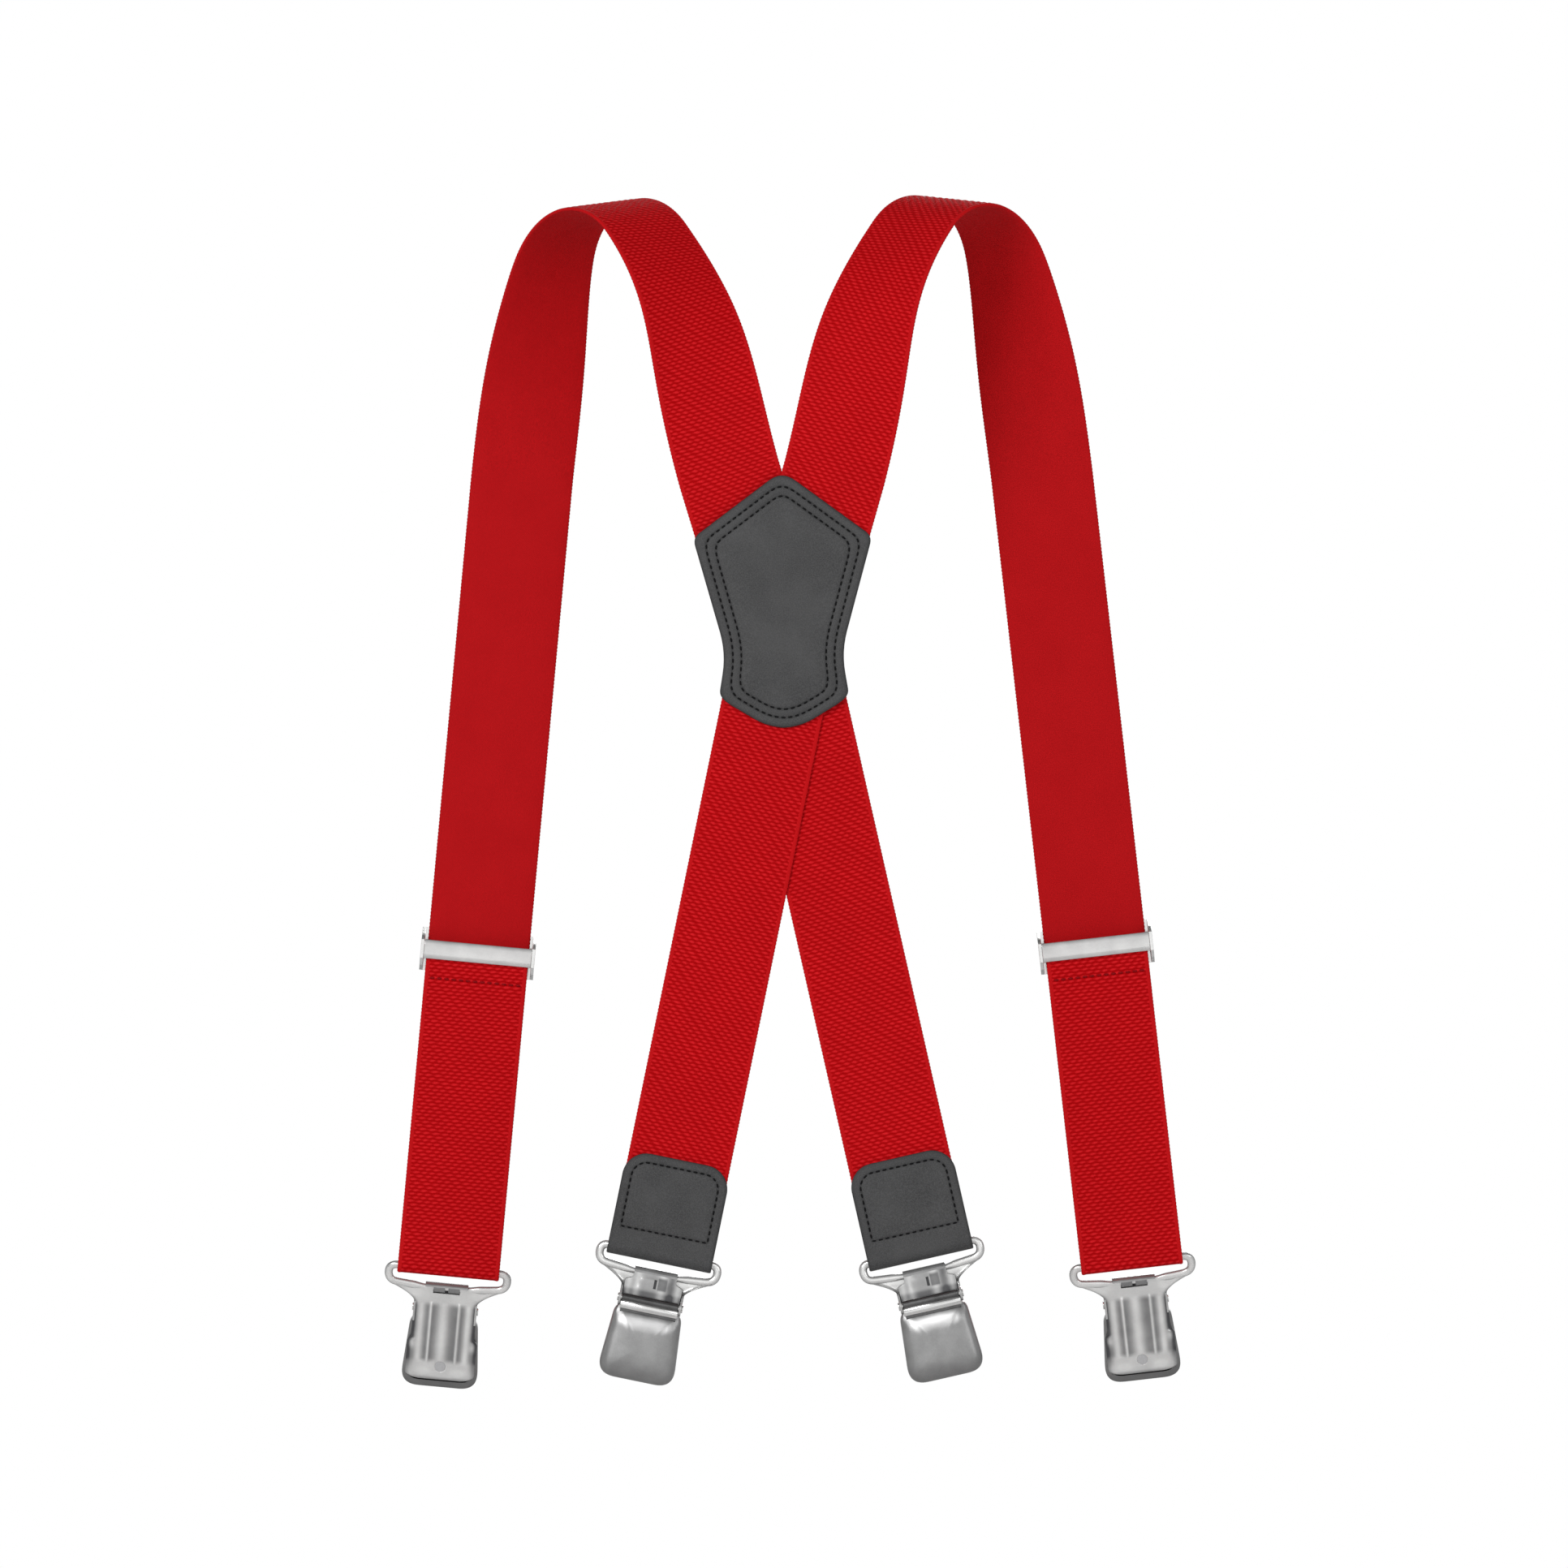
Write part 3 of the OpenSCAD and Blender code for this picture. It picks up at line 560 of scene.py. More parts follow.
def clipPlace(end):
    # origin on the clip's bar, X along the bar, Y towards the lever, Z up; in mm
    swing, lever = joints[end + "_clip_swing"], joints[end + "_lever_open"]
    origin, x = np.array(swing["pos_m"]) / mm, np.array(swing["axis"], float)
    toPin = unit(np.array(lever["pos_m"]) / mm - origin)
    a, b = unit(np.array([clipSizes["pinOut"], -clipSizes["pinDrop"]]))
    turned = np.cross(x, toPin)
    return frameOf(origin, x, a * toPin - b * turned, b * toPin + a * turned)


def legPlace(side):
    # origin on the front strap's main layer level with the clip's bar, Z up along the strap
    z = np.array(joints[sideNames[side] + "_take_up"]["axis"], float)
    x = np.array(joints["front_" + sideNames[side] + "_clip_swing"]["axis"], float)
    y = np.cross(z, x)
    bar = np.array(joints["front_" + sideNames[side] + "_clip_swing"]["pos_m"]) / mm
    return frameOf(bar + foldR * y, x, y, z)


# camera and light

view = {"centre": (-0.0004, 0.0, -0.2151), "wide": 0.5820, "distance": 8.0, "roll": 0.6}


def makeCamera():
    data = bpy.data.cameras.new("camera")
    data.sensor_width = 36.0
    data.lens = data.sensor_width * view["distance"] / view["wide"]
    data.clip_end = 60.0
    camera = addObject("camera", data)
    x, y, z = view["centre"]
    camera.location = (x, y - view["distance"], z)
    camera.rotation_euler = (math.radians(90), math.radians(view["roll"]), 0)
    bpy.context.scene.camera = camera


lamps = {
    "key": {"at": (-1.0, -1.9, 0.7), "size": 0.9, "power": 19.0},
    "fill": {"at": (1.6, -1.7, 0.3), "size": 1.0, "power": 5.0},
    "rear": {"at": (0.5, 1.9, 0.6), "size": 1.0, "power": 17.0},
}
sky = {
    "level": 1.0, "side": 0.5, "sideFrom": (0.45, 0.9), "dark": 0.10, "corner": 0.62,
    "band": (0.30, 0.75), "topFrom": (0.80, 0.95), "top": 0.30,
}


def makeLight():
    target = Vector(view["centre"])
    for name, lamp in lamps.items():
        data = bpy.data.lights.new(name, "AREA")
        data.size, data.energy = lamp["size"], lamp["power"]
        obj = addObject(name, data)
        obj.location = lamp["at"]
        obj.rotation_euler = (target - obj.location).to_track_quat("-Z", "Y").to_euler()
    world = bpy.data.worlds.new("studio")
    bpy.context.scene.world = world
    world.use_nodes = True
    world.node_tree.nodes.clear()
    g = Graph(world.node_tree)
    way = g.node("ShaderNodeTexCoord", {}, {}, "Generated")
    x, y, z = [g.node("ShaderNodeSeparateXYZ", {}, {0: way}, i) for i in range(3)]
    # two bright walls, two dimmer with darker corners, a dim floor and a soft ceiling panel
    corner = x * y * 2 / (x * x + y * y + 0.001)
    corner = corner * corner
    band = 1 - g.ramp(z.math("ABSOLUTE"), *sky["band"])
    side = g.ramp(x.math("ABSOLUTE"), *sky["sideFrom"]) * sky["side"]
    walls = band * (1 - corner * sky["corner"]) * (1 - side)
    top = g.ramp(z, *sky["topFrom"]) * sky["top"]
    level = walls * (1 - sky["dark"]) + sky["dark"] + top
    room = g.node("ShaderNodeBackground", {}, {0: (1, 1, 1, 1), 1: level * sky["level"]})
    seen = g.node("ShaderNodeBackground", {}, {0: (1, 1, 1, 1), 1: 1.0})
    direct = g.node("ShaderNodeLightPath", {}, {}, "Is Camera Ray")
    both = g.node("ShaderNodeMixShader", {}, {0: direct, 1: room, 2: seen})
    g.tree.links.new(both.socket, g.tree.nodes.new("ShaderNodeOutputWorld").inputs[0])
    bpy.context.scene.view_settings.view_transform = "Standard"


floorSize = {"drop": 0.62, "half": 1.4}


def makeFloor():
    p = Paint("paleFloor", Specular_IOR_Level=0.2)
    speck = p.noise(40, 2)
    pale = p.use(Base_Color=p.blend(speck, (0.80, 0.80, 0.80), (0.84, 0.84, 0.84)),
                 Roughness=speck * 0.1 + 0.7)
    h, z = floorSize["half"], -floorSize["drop"]
    floor = meshPiece("floor", [(-h, -h, z), (h, -h, z), (h, h, z), (-h, h, z)], [(0, 1, 2, 3)], pale)


makeCamera()
makeLight()
makeFloor()
print("camera, light and floor made")

paints = {
    "elastic": elasticPaint(),
    "leather": leatherPaint(),
    "nickel": metalPaint("nickelPlate", (0.88, 0.88, 0.87), (0.74, 0.74, 0.73), 0.14, 0.24),
    # pressed and satin: painted shade where the painted light is low, and on the satin a painted highlight
    # where it is high
    "pressed": metalPaint("pressedNickel", (0.97, 0.97, 0.96), (0.88, 0.88, 0.87), 0.16, 0.26,
                          wearAndShade=(0.09, 0.09, 0.095), metallic=0.58),
    "satin": metalPaint("satinPlate", (0.45, 0.45, 0.45), (0.37, 0.37, 0.37), 0.30, 0.40, 0.4,
                        wearAndShade=(0.14, 0.14, 0.14), paintedGlint=(0.97, 0.97, 0.97), metallic=0.75),
    # a darker copy of the nickel: painted shade for the lever's roll and neck
    "shade": metalPaint("shadedNickel", (0.16, 0.16, 0.16), (0.10, 0.10, 0.10), 0.25, 0.4),
    "nylon": nylonPaint(),
    "thread": threadPaint("blackThread", (0.009, 0.009, 0.010)),
    "redThread": threadPaint("redThread", (0.40, 0.003, 0.007)),
}


# stitches

stitch = {
    "length": 1.6, "gap": 0.95, "r": 0.36, "sink": 0.12, "around": 6,
    # along the stitch from -1 to 1, girth, and height, as shares of its length and thickness
    "swell": ((-1.0, 0.35, -0.32), (-0.72, 0.85, -0.05), (0.0, 1.0, 0.06), (0.72, 0.85, -0.05),
              (1.0, 0.35, -0.32)),
}


def threadPiece(name, runs, paint, body):
    # runs: (start, end, outward) in mm; each becomes one raised stitch
    verts, faces, r, n = [], [], stitch["r"], stitch["around"]
    for a, b, out in runs:
        way, mid = unit(b - a), (a + b) / 2
        side = np.cross(way, out)
        half = np.linalg.norm(b - a) / 2
        first = len(verts)
        for along, girth, height in stitch["swell"]:
            for k in range(n):
                turned = math.cos(2 * k * math.pi / n) * side + math.sin(2 * k * math.pi / n) * out
                verts.append(mid + along * half * way + r * (girth * turned + height * out))
        addTube(faces, first, len(stitch["swell"]), n)
    piece = meshPiece(name, np.array(verts) * mm, faces, paint)
    facesOut(piece)
    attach(piece, body)
    return piece


def stitchRuns(line, outward, closed=True):
    # splits a 3-D line into stitches
    pts = np.vstack([line, line[:1]]) if closed else line
    total, gap = lengths(pts)[-1], stitch["gap"]
    count = max(1, int(total / (stitch["length"] + gap)))
    pitch = total / count
    starts = pointsAt(np.arange(count) * pitch + gap / 2, pts)
    ends = pointsAt(np.arange(1, count + 1) * pitch - gap / 2, pts)
    return [(start, end, outward) for start, end in zip(starts, ends)]


# straps

def backStrap(side):
    places, ways = walk(backLine(side), ringStep)
    wide, out = wornFrame(side, places, ways)
    piece = ribbon(sideNames[side] + "StrapBack", places, wide, out, paints["elastic"], ends=(True, False))
    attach(piece, "straps")
    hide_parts(sideNames[side] + "_strap")


def frontStrap(side):
    # over the crown, down the chest and round the clip's bar
    name = sideNames[side]
    places, ways = walk(frontLine(side), ringStep)
    wide, out = wornFrame(side, places, ways)
    leg = legPlace(side)
    fold = arcPoints((-foldR, 0), foldR, 0, -90, 9)[1:]
    foldPlaces = placed(inSide(fold), leg)
    foldOut = placed(inSide(fold + (foldR, 0)) / foldR, frameOf((0, 0, 0), *leg[1:]))
    foldWide = np.repeat([leg[1]], len(fold), 0)
    piece = ribbon(name + "StrapFront", np.vstack([places, foldPlaces]), np.vstack([wide, foldWide]),
                   np.vstack([out, foldOut]), paints["elastic"], ends=(False, False))
    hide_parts(name + "_strap", name + "_strap_lower", name + "_strap_fold")
    start, end = placed([[0, 0, 230.0], [0, 0, 6.0]], leg) * mm
    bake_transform(piece)


def returnLine(side):
    # up from the clip, then round the adjuster's centre bar and sewn back on itself
    up, bend = strap["adjusterUp"], strap["adjusterUp"] - strap["sewnLen"] / 2
    thick = strap["thick"]
    barR = adjuster["barR"] + clipSizes["fit"] + thick / 2
    barY = adjuster["barY"]
    near = -2 * foldR
    wrap = arcPoints((barY, up), barR, 180, 0, 14)
    tail = [(near + thick - 0.1, bend), (near + thick - 0.1, up - strap["sewnLen"] + thick)]
    fold = arcPoints((-foldR, 0), foldR, -90, -180, 12)
    line = np.vstack([fold, [(near, bend - 2)], [(near, bend)], wrap, tail])
    return placed(inSide(line), legPlace(side))


sewn = {"below": 10.5, "inset": 1.6, "proud": 0.28}


def sewnRow(side):
    # the row that closes the elastic round the adjuster's bar
    name, leg = sideNames[side], legPlace(side)
    half = strap["width"] / 2 - sewn["inset"]
    y = -2 * foldR - strap["thick"] / 2 - sewn["proud"]
    line = placed([[x, y, strap["adjusterUp"] - sewn["below"]] for x in (-half, half)], leg)
    runs = stitchRuns(line, -leg[2], closed=False)
    piece = threadPiece(name + "SewnRow", runs, paints["redThread"], name + "_adjuster")


def strapReturn(side):
    name = sideNames[side]
    leg = legPlace(side)
    places = walk(returnLine(side), ringStep)[0]
    wide = np.repeat([leg[1]], len(places), 0)
    ways = np.gradient(places, axis=0)
    ways /= np.linalg.norm(ways, axis=1)[:, None]
    out = np.cross(ways, wide)
    piece = ribbon(name + "StrapReturn", places, wide, -out, paints["elastic"], ways=ways, ends=(False, True))
    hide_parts(name + "_strap_fold", name + "_strap_return", name + "_strap_end")
    start, end = placed([[0, 0, 2.0], [0, 0, 94.0]], leg) * mm
    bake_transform(piece)


# over, under: painted light of the rear bar at its middle and how it changes per mm, as painted shade darkening
# it upwards and downwards
adjuster = {"barR": 1.1, "barY": -3.55, "over": (0.95, -0.16), "under": (1.0, 0.1)}

for side in (left, right):
    backStrap(side)
    frontStrap(side)
    strapReturn(side)
    sewnRow(side)
print("straps made")


# back patch

hide = {
    "edge": (0.0, 0.12, 0.4, 0.8, 1.3, 2.0, 2.7),       # where its points lie, in from the cut edge
    "row": (-0.55, -0.25, 0.0, 0.25, 0.55),             # and across a row of stitches
    "field": (1.0, 1.8, 3.0, 4.5, 6.5, 9.0, 12.0, 16.0),
    "roll": 0.8, "rolled": 0.42, "groove": 0.34, "grooveWide": 0.42, "shadeWide": 0.4,
    "padFrom": 3.0, "swell": 0.12, "swellAt": -1.6, "swellWide": 1.2, "soften": 14, "middle": (30.0, 20),
}
patch = {
    "rise": 67.2, "shoulder": (33.2, 42.6), "waist": 21.4, "corner": (24.0, -15.6), "heel": (21.0, -18.6),
    "foot": (7.0, -27.0), "drop": 28.0, "thick": 1.6, "centre": (0.0, 14.0),
    "rows": (3.5, 6.6), "puff": 0.35, "innerPuff": 0.1, "radii": (6, 3, 8, 2, 2, 5, 2, 5, 2, 2, 8, 3),
}


def patchLoop():
    p = patch
    sx, sz = p["shoulder"]
    cx, cz = p["corner"]
    hx, hz = p["heel"]
    fx, fz = p["foot"]
    corners = [(0, p["rise"]), (sx, sz), (p["waist"], 0), (cx, cz), (hx, hz), (fx, fz), (0, -p["drop"]),
               (-fx, fz), (-hx, hz), (-cx, cz), (-p["waist"], 0), (-sx, sz)]
    return evenLoop(roundedLoop(corners, p["radii"]), 0.9)


def edgeRoll(d, deep):
    # how far the leather falls away at that distance from its cut edge
    return deep * (1 - math.sqrt(max(0.0, 1 - (1 - min(1, d / hide["roll"])) ** 2)))


def leatherSheet(name, loop, centre, rows, base, out, thick, puff, body, node):
    # a padded leather blank: rolled edge, stitch grooves, soft middle
    depths = sorted({*hide["edge"], *(r + d for r in rows for d in hide["row"]),
                     *(rows[-1] + d for d in hide["field"])})
    rings = insetLoops(loop, centre, depths, hide["soften"])

    def height(d):
        groove = sum(hide["groove"] * bell(d, r, hide["grooveWide"]) for r in rows)
        pad = puff * (1 - math.exp(-max(0, d - rows[-1]) / hide["padFrom"]))
        swell = hide["swell"] * bell(d, rows[0] + hide["swellAt"], hide["swellWide"])
        return thick - edgeRoll(d, hide["rolled"]) - groove + pad + swell
    n = len(loop)
    verts, lay = [(x, base, z) for x, z in loop], [(0, 0, 0)] * n
    for d, ring in zip(depths, rings):
        y = base + out * height(d)
        verts += [(x, y, z) for x, z in ring]
        # the second value marks the stitch grooves for painted shade
        lay += [(d, max(bell(d, r, hide["shadeWide"]) for r in rows), 1)] * n
    faces = [tuple(f) for f in gridFaces(len(depths) + 1, n)]
    top, (deep, depth) = len(verts), hide["middle"]
    verts += [(centre[0], base + out * height(deep), centre[1]), (centre[0], base, centre[1])]
    lay += [(depth, 0, 1), (depth, 0, 0)]
    faces += [(top - n + k, top - n + (k + 1) % n, top) for k in range(n)]
    faces += [((k + 1) % n, k, top + 1) for k in range(n)]
    piece = meshPiece(name, np.array(verts) * mm, faces, paints["leather"], lay)
    facesOut(piece)
    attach(piece, body)
    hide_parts(node)
    return insetLoops(loop, centre, rows, hide["soften"]), [height(r) for r in rows]


def backPatch():
    loop = patchLoop()
    loop[:, 1] -= strap["crossDrop"]
    centre = (patch["centre"][0], patch["centre"][1] - strap["crossDrop"])
    front = -strap["depth"] / 2 - strap["thick"]
    for name, base, out in (("outer", front, -1), ("inner", -strap["depth"] / 2 + strap["thick"], 1)):
        puff = patch["puff"] if out < 0 else patch["innerPuff"]
        lines, heights = leatherSheet(name + "Patch", loop, centre, patch["rows"], base, out,
                                      patch["thick"] - 0.15, puff, "straps", name + "_patch")
        runs = []
        for line, h in zip(lines, heights):
            line = np.insert(line, 1, base + out * (h + stitch["sink"]), axis=1)
            runs += stitchRuns(line, np.array([0, out, 0.0]))
        threadPiece(name + "PatchStitches", runs, paints["thread"], "straps")


backPatch()
print("patch made")


# end tabs

tab = {
    "len": 39.0, "edge": 0.7, "thick": 1.6, "corner": 9.0, "row": 3.4, "foot": 7.6, "tuck": 7.0,
    # where its points lie, in from the cut edge: both ways, then along it, then across it
    "steps": (0, 0.15, 0.5, 1.0, 1.6, 2.3, 4.6, 5.5), "longSteps": (6.5, 7.5, 8.3, 9.0),
    "wideSteps": (7, 9, 11.5, 14, 17),
    "rolled": 0.4, "groove": 0.3, "grooveWide": 0.38, "puff": 0.16, "puffFrom": 2.5,
}


def endTab(side):
    name = sideNames[side]
    place = clipPlace("back_" + name)
    t, r, row, inner = tab["thick"], tab["corner"], tab["row"], clipSizes["barR"] + clipSizes["fit"]
    foldY, sewnY = inner + t / 2, strap["thick"] / 2 + t / 2
    top = tab["len"] - inner - t
    half = strap["width"] / 2 + tab["edge"]
    line = np.vstack([[(sewnY, top)], [(sewnY, tab["tuck"] + 2)], [(sewnY + 0.1, tab["tuck"])],
                      [(foldY - 0.1, 1.2)], arcPoints((0, 0), foldY, 0, -180, 24), [(0.1 - foldY, 1.2)],
                      [(-sewnY - 0.1, tab["tuck"])], [(-sewnY, tab["tuck"] + 2)], [(-sewnY, top)]])
    total, foot = lengths(line)[-1], top - tab["foot"]
    steps = [*tab["steps"], *(row + d for d in hide["row"])]
    stations = sorted({*steps, *tab["longSteps"], *np.arange(10, foot - 1, 1.0),
                       *(foot + d for d in hide["row"]), *np.arange(foot + 1, total / 2, 0.5)})
    stations += [total - s for s in reversed(stations)]
    columns = np.sort([*steps, *tab["wideSteps"]])
    across = np.concatenate([columns - half, [0.0], (half - columns)[::-1]])
    verts, lay, count, cols = [], [], len(stations), len(across)
    for skin in (1, 0):
        for s in stations:
            fromEnd = min(s, total - s)
            halfHere = half - r + math.sqrt(r * r - max(0.0, r - fromEnd) ** 2)
            centre = pointsAt(s, line)
            way = unit(pointsAt(s + 0.2, line) - pointsAt(s - 0.2, line))
            normal = np.array([-way[1], way[0]])
            for x in across * halfHere / half:
                d = edgeDistance(x, fromEnd, half, r)
                edgeGroove = bell(d, row, tab["grooveWide"]) if fromEnd <= foot else 0
                footGroove = bell(fromEnd, foot, tab["grooveWide"]) if abs(x) < half - row + 0.1 else 0
                groove = max(edgeGroove, footGroove)
                puff = tab["puff"]
                for inside in (d - row, foot - fromEnd):
                    puff *= min(1, max(0, inside / tab["puffFrom"]))
                relief = puff - edgeRoll(d, tab["rolled"]) - tab["groove"] * groove
                point = centre + (t / 2 + relief if skin else -t / 2) * normal
                verts.append((x, *point))
                # the second value marks the stitch grooves for painted shade
                lay.append((d, groove if skin else 0, skin))
    shift = count * cols
    faces = [tuple(f) for f in gridFaces(count, cols, closed=False)]
    faces += [tuple(f) for f in gridFaces(count, cols, closed=False, flip=True) + shift]
    ids = np.arange(shift).reshape(count, cols)
    rim = [*ids[0], *ids[1:, -1], *ids[-1, -2::-1], *ids[-2:0:-1, 0]]
    faces += [(a, b, b + shift, a + shift) for a, b in zip(rim, rim[1:] + rim[:1])]
    world = placed(np.array(verts), place)
    piece = meshPiece(name + "Tab", world * mm, faces, paints["leather"], lay)
    facesOut(piece)
    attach(piece, "straps")
    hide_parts(name + "_tab")
    r, w, u, runs = r - row, half - row, top - row, []
    outline = np.vstack([[(-w, tab["foot"])], arcPoints((r - w, u - r), r, 180, 90, 9),
                         arcPoints((w - r, u - r), r, 90, 0, 9), [(w, tab["foot"])]])
    for face in (1, -1):
        y = face * (sewnY + t / 2 - tab["groove"] + stitch["sink"])
        runs += stitchRuns(placed(np.insert(outline, 1, y, axis=1), place), face * place[2])
    threadPiece(name + "TabStitches", runs, paints["thread"], "straps")


def edgeDistance(x, fromEnd, half, r):
    # distance from the edge of the tab's cut shape
    x = abs(x)
    if fromEnd < r and x > half - r:
        return max(0.0, r - math.hypot(x - (half - r), r - fromEnd))
    return max(0.0, min(half - x, fromEnd))


for side in (left, right):
    endTab(side)
print("tabs made")


# hardware

def softened(node, body, slotName, edge, angle=32):
    # the part's own solid with its sharp edges eased
    mesh = frame["nodes"][node].data.copy()
    mesh.materials.clear()
    mesh.materials.append(paints[slotName])
    bm = bmesh.new()
    bm.from_mesh(mesh)
    bmesh.ops.remove_doubles(bm, verts=bm.verts, dist=2e-6)
    bmesh.ops.dissolve_limit(bm, angle_limit=math.radians(1.0), verts=bm.verts, edges=bm.edges)
    bm.to_mesh(mesh)
    bm.free()
    piece = addObject(camel(node), mesh)
    bevel = piece.modifiers.new("ease", "BEVEL")
    bevel.width, bevel.segments, bevel.limit_method = edge * mm, 2, "ANGLE"
    bevel.angle_limit = math.radians(angle)
    bevel.use_clamp_overlap = True
    mesh.polygons.foreach_set("use_smooth", [True] * len(mesh.polygons))
    if "rear_bar" in node:
        # painted shade: its painted light fades upwards and downwards from the middle
        up, over, under = legPlace(left if "left" in node else right), adjuster["over"], adjuster["under"]
        heights = [np.dot(np.array(v.co) / mm - up[0], up[3]) - strap["adjusterUp"] for v in mesh.vertices]
        storeLay(mesh, [(over[0] + over[1] * h if h > 0 else under[0] + under[1] * h, 0, 0) for h in heights])
        mesh.materials[0] = paints["pressed"]
    piece.modifiers.new("even", "WEIGHTED_NORMAL").keep_sharp = True
    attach(piece, body)
    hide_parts(node)
    return piece


def addBar(verts, faces, outline, half, ease=0.25, at=0.0, paintedLight=None, shine=0.6):
    # a bar along X with that YZ outline and eased ends
    first, n = len(verts), len(outline)
    middle = np.mean(outline, 0)
    for x, shrink in ((-half, 1), (ease - half, 0), (half - ease, 0), (half, 1)):
        for point in outline:
            y, z = point + shrink * ease * unit(middle - point)
            verts.append((at + x, y, z))
    addTube(faces, first, 4, n)
    # the whole bar gets one level of painted light
    if paintedLight is not None:
        paintedLight += [shine] * (4 * n)


def addSheet(verts, faces, paintedLight, zs, halfWidth, back, shine, thick, holes=(), core=9.5):
    # pressed sheet metal: rows down the clip, columns across it, with openings
    cutX = [edge for hole in holes for edge in hole[:2]]
    cutZ = [edge for hole in holes for edge in hole[2:] if zs.min() < edge < zs.max()]
    xs = np.unique(np.round([*np.linspace(-core, core, 47), *cutX], 3))
    zs = np.unique(np.round([*zs, *cutZ], 3))[::-1]
    wide = halfWidth(zs)
    flank = core + (wide[:, None] - core) * np.linspace(0, 1, 9)[1:]
    x = np.concatenate([-flank[:, ::-1], np.broadcast_to(xs, (len(zs), len(xs))), flank], 1)
    z = np.broadcast_to(zs[:, None], x.shape)
    y = back(x, z, wide[:, None])
    rows, cols = x.shape
    kept = np.ones((rows - 1, cols - 1), bool)
    midX, midZ = (x[:-1, :-1] + x[1:, 1:]) / 2, (z[:-1, :-1] + z[1:, 1:]) / 2
    for x0, x1, z0, z1 in holes:
        kept &= ~((midX > x0) & (midX < x1) & (midZ > z0) & (midZ < z1))
    first, skin = len(verts), rows * cols
    verts += [tuple(v) for v in np.stack([x, y, z], -1).reshape(-1, 3)]
    verts += [tuple(v) for v in np.stack([x, y + thick, z], -1).reshape(-1, 3)]
    # painted light and shade at each point of both skins
    paintedLight += list(shine(x, z, wide[:, None]).ravel()) * 2
    edges = set()
    for i, k in zip(*np.nonzero(kept)):
        a = first + i * cols + k
        quad = (a, a + 1, a + cols + 1, a + cols)
        faces.append(quad)
        faces.append(tuple(v + skin for v in reversed(quad)))
        for p, q in zip(quad, quad[1:] + quad[:1]):
            if (q, p) in edges:
                edges.remove((q, p))
            else:
                edges.add((p, q))
    faces += [(q, p, p + skin, q + skin) for p, q in sorted(edges)]


def addWire(verts, faces, paintedLight, path, inPlane, deep, middle):
    # a closed wire in the XZ plane with a rounded section that varies along it
    first, n, around = len(verts), len(path), 14
    way = np.roll(path, -1, 0) - np.roll(path, 1, 0)
    way /= np.linalg.norm(way, axis=1)[:, None]
    normal = np.stack([-way[:, 1], way[:, 0]], -1)
    for k in range(n):
        for j in range(around):
            a = 2 * math.pi * j / around
            q = path[k] + inPlane[k] * math.cos(a) * normal[k]
            verts.append((q[0], middle[k] + deep[k] * math.sin(a), q[1]))
            # painted light: the front and back of the wire bright, its edges painted dark
            paintedLight.append(0.25 + 0.75 * abs(math.sin(a)) ** 1.5)
    for k in range(n):
        m = (k + 1) % n
        faces += [(first + k * around + j, first + k * around + (j + 1) % around,
                   first + m * around + (j + 1) % around, first + m * around + j) for j in range(around)]


clipBody = {
    "barHalf": 20.0, "cornerR": 2.2, "heelR": 3.2, "heelIn": 1.0, "heelDrop": 3.4, "lowerBar": -7.6,
    "barR": 1.45, "wireHalf": 1.5, "wireDeep": 1.08, "lowerR": 1.08,
    "webTop": -7.0, "webHalf": 21.0, "shoulder": -13.2, "plateHalf": 11.8, "lowHalf": 13.0,
    "widen": (-28.9, -27.3), "end": -44.0, "endR": 3.0, "back": -1.2, "thick": 0.85,
    "ribs": (-36.5, -13.6), "pegZ": -38.4, "pegR": 1.85, "pegDeep": 0.5,
    "foot": ((15, -7.0), (11.5, -7.3), (8.4, -7.6), (4, -7.6), (0, -7.6)),
    # height, middle and spread of each pressed rib or hollow across the plate
    "pressing": ((-0.6, 5.1, 0.55), (0.28, 7.7, 1.5), (0.22, 3.0, 1.1), (-0.2, 0.0, 2.0)),
    "flange": (1.1, 2.6), "toe": (1.5, 4.2), "dish": ((0.5, 13.5, 3.0), 0.15, (-13.5, -9.0)),
    "dent": ((-0.22, 11.6, 1.5, -30.0, 2.0),),
    # painted light and shade, the same way, some with a middle and spread down the plate
    "shine": 0.86, "pressedShine": 0.24, "ribShine": ((0.75, 8.8, 1.4), (1.0, 5.3, 0.42)),
    "middleShine": ((0.72, -0.4, 2.2),), "edgeShade": (1.6, 0.6),
    "flatShine": ((0.3, 6.6, 2.4, -40.6, 1.3), (0.35, 13.0, 3.5, -9.5, 1.6), (-0.45, 11.6, 1.1, -36.0, 4.0)),
    "dentShine": ((0.5, 11.2, 1.2, -30.0, 1.8),),
    "windows": ((-8.4, 8.4, -7.9, 0.0), (-5.0, 5.0, -9.6, 0.0)),
    "earX": 11.4, "earR": 2.6, "earTop": -13.5, "earLow": -21.2,
}


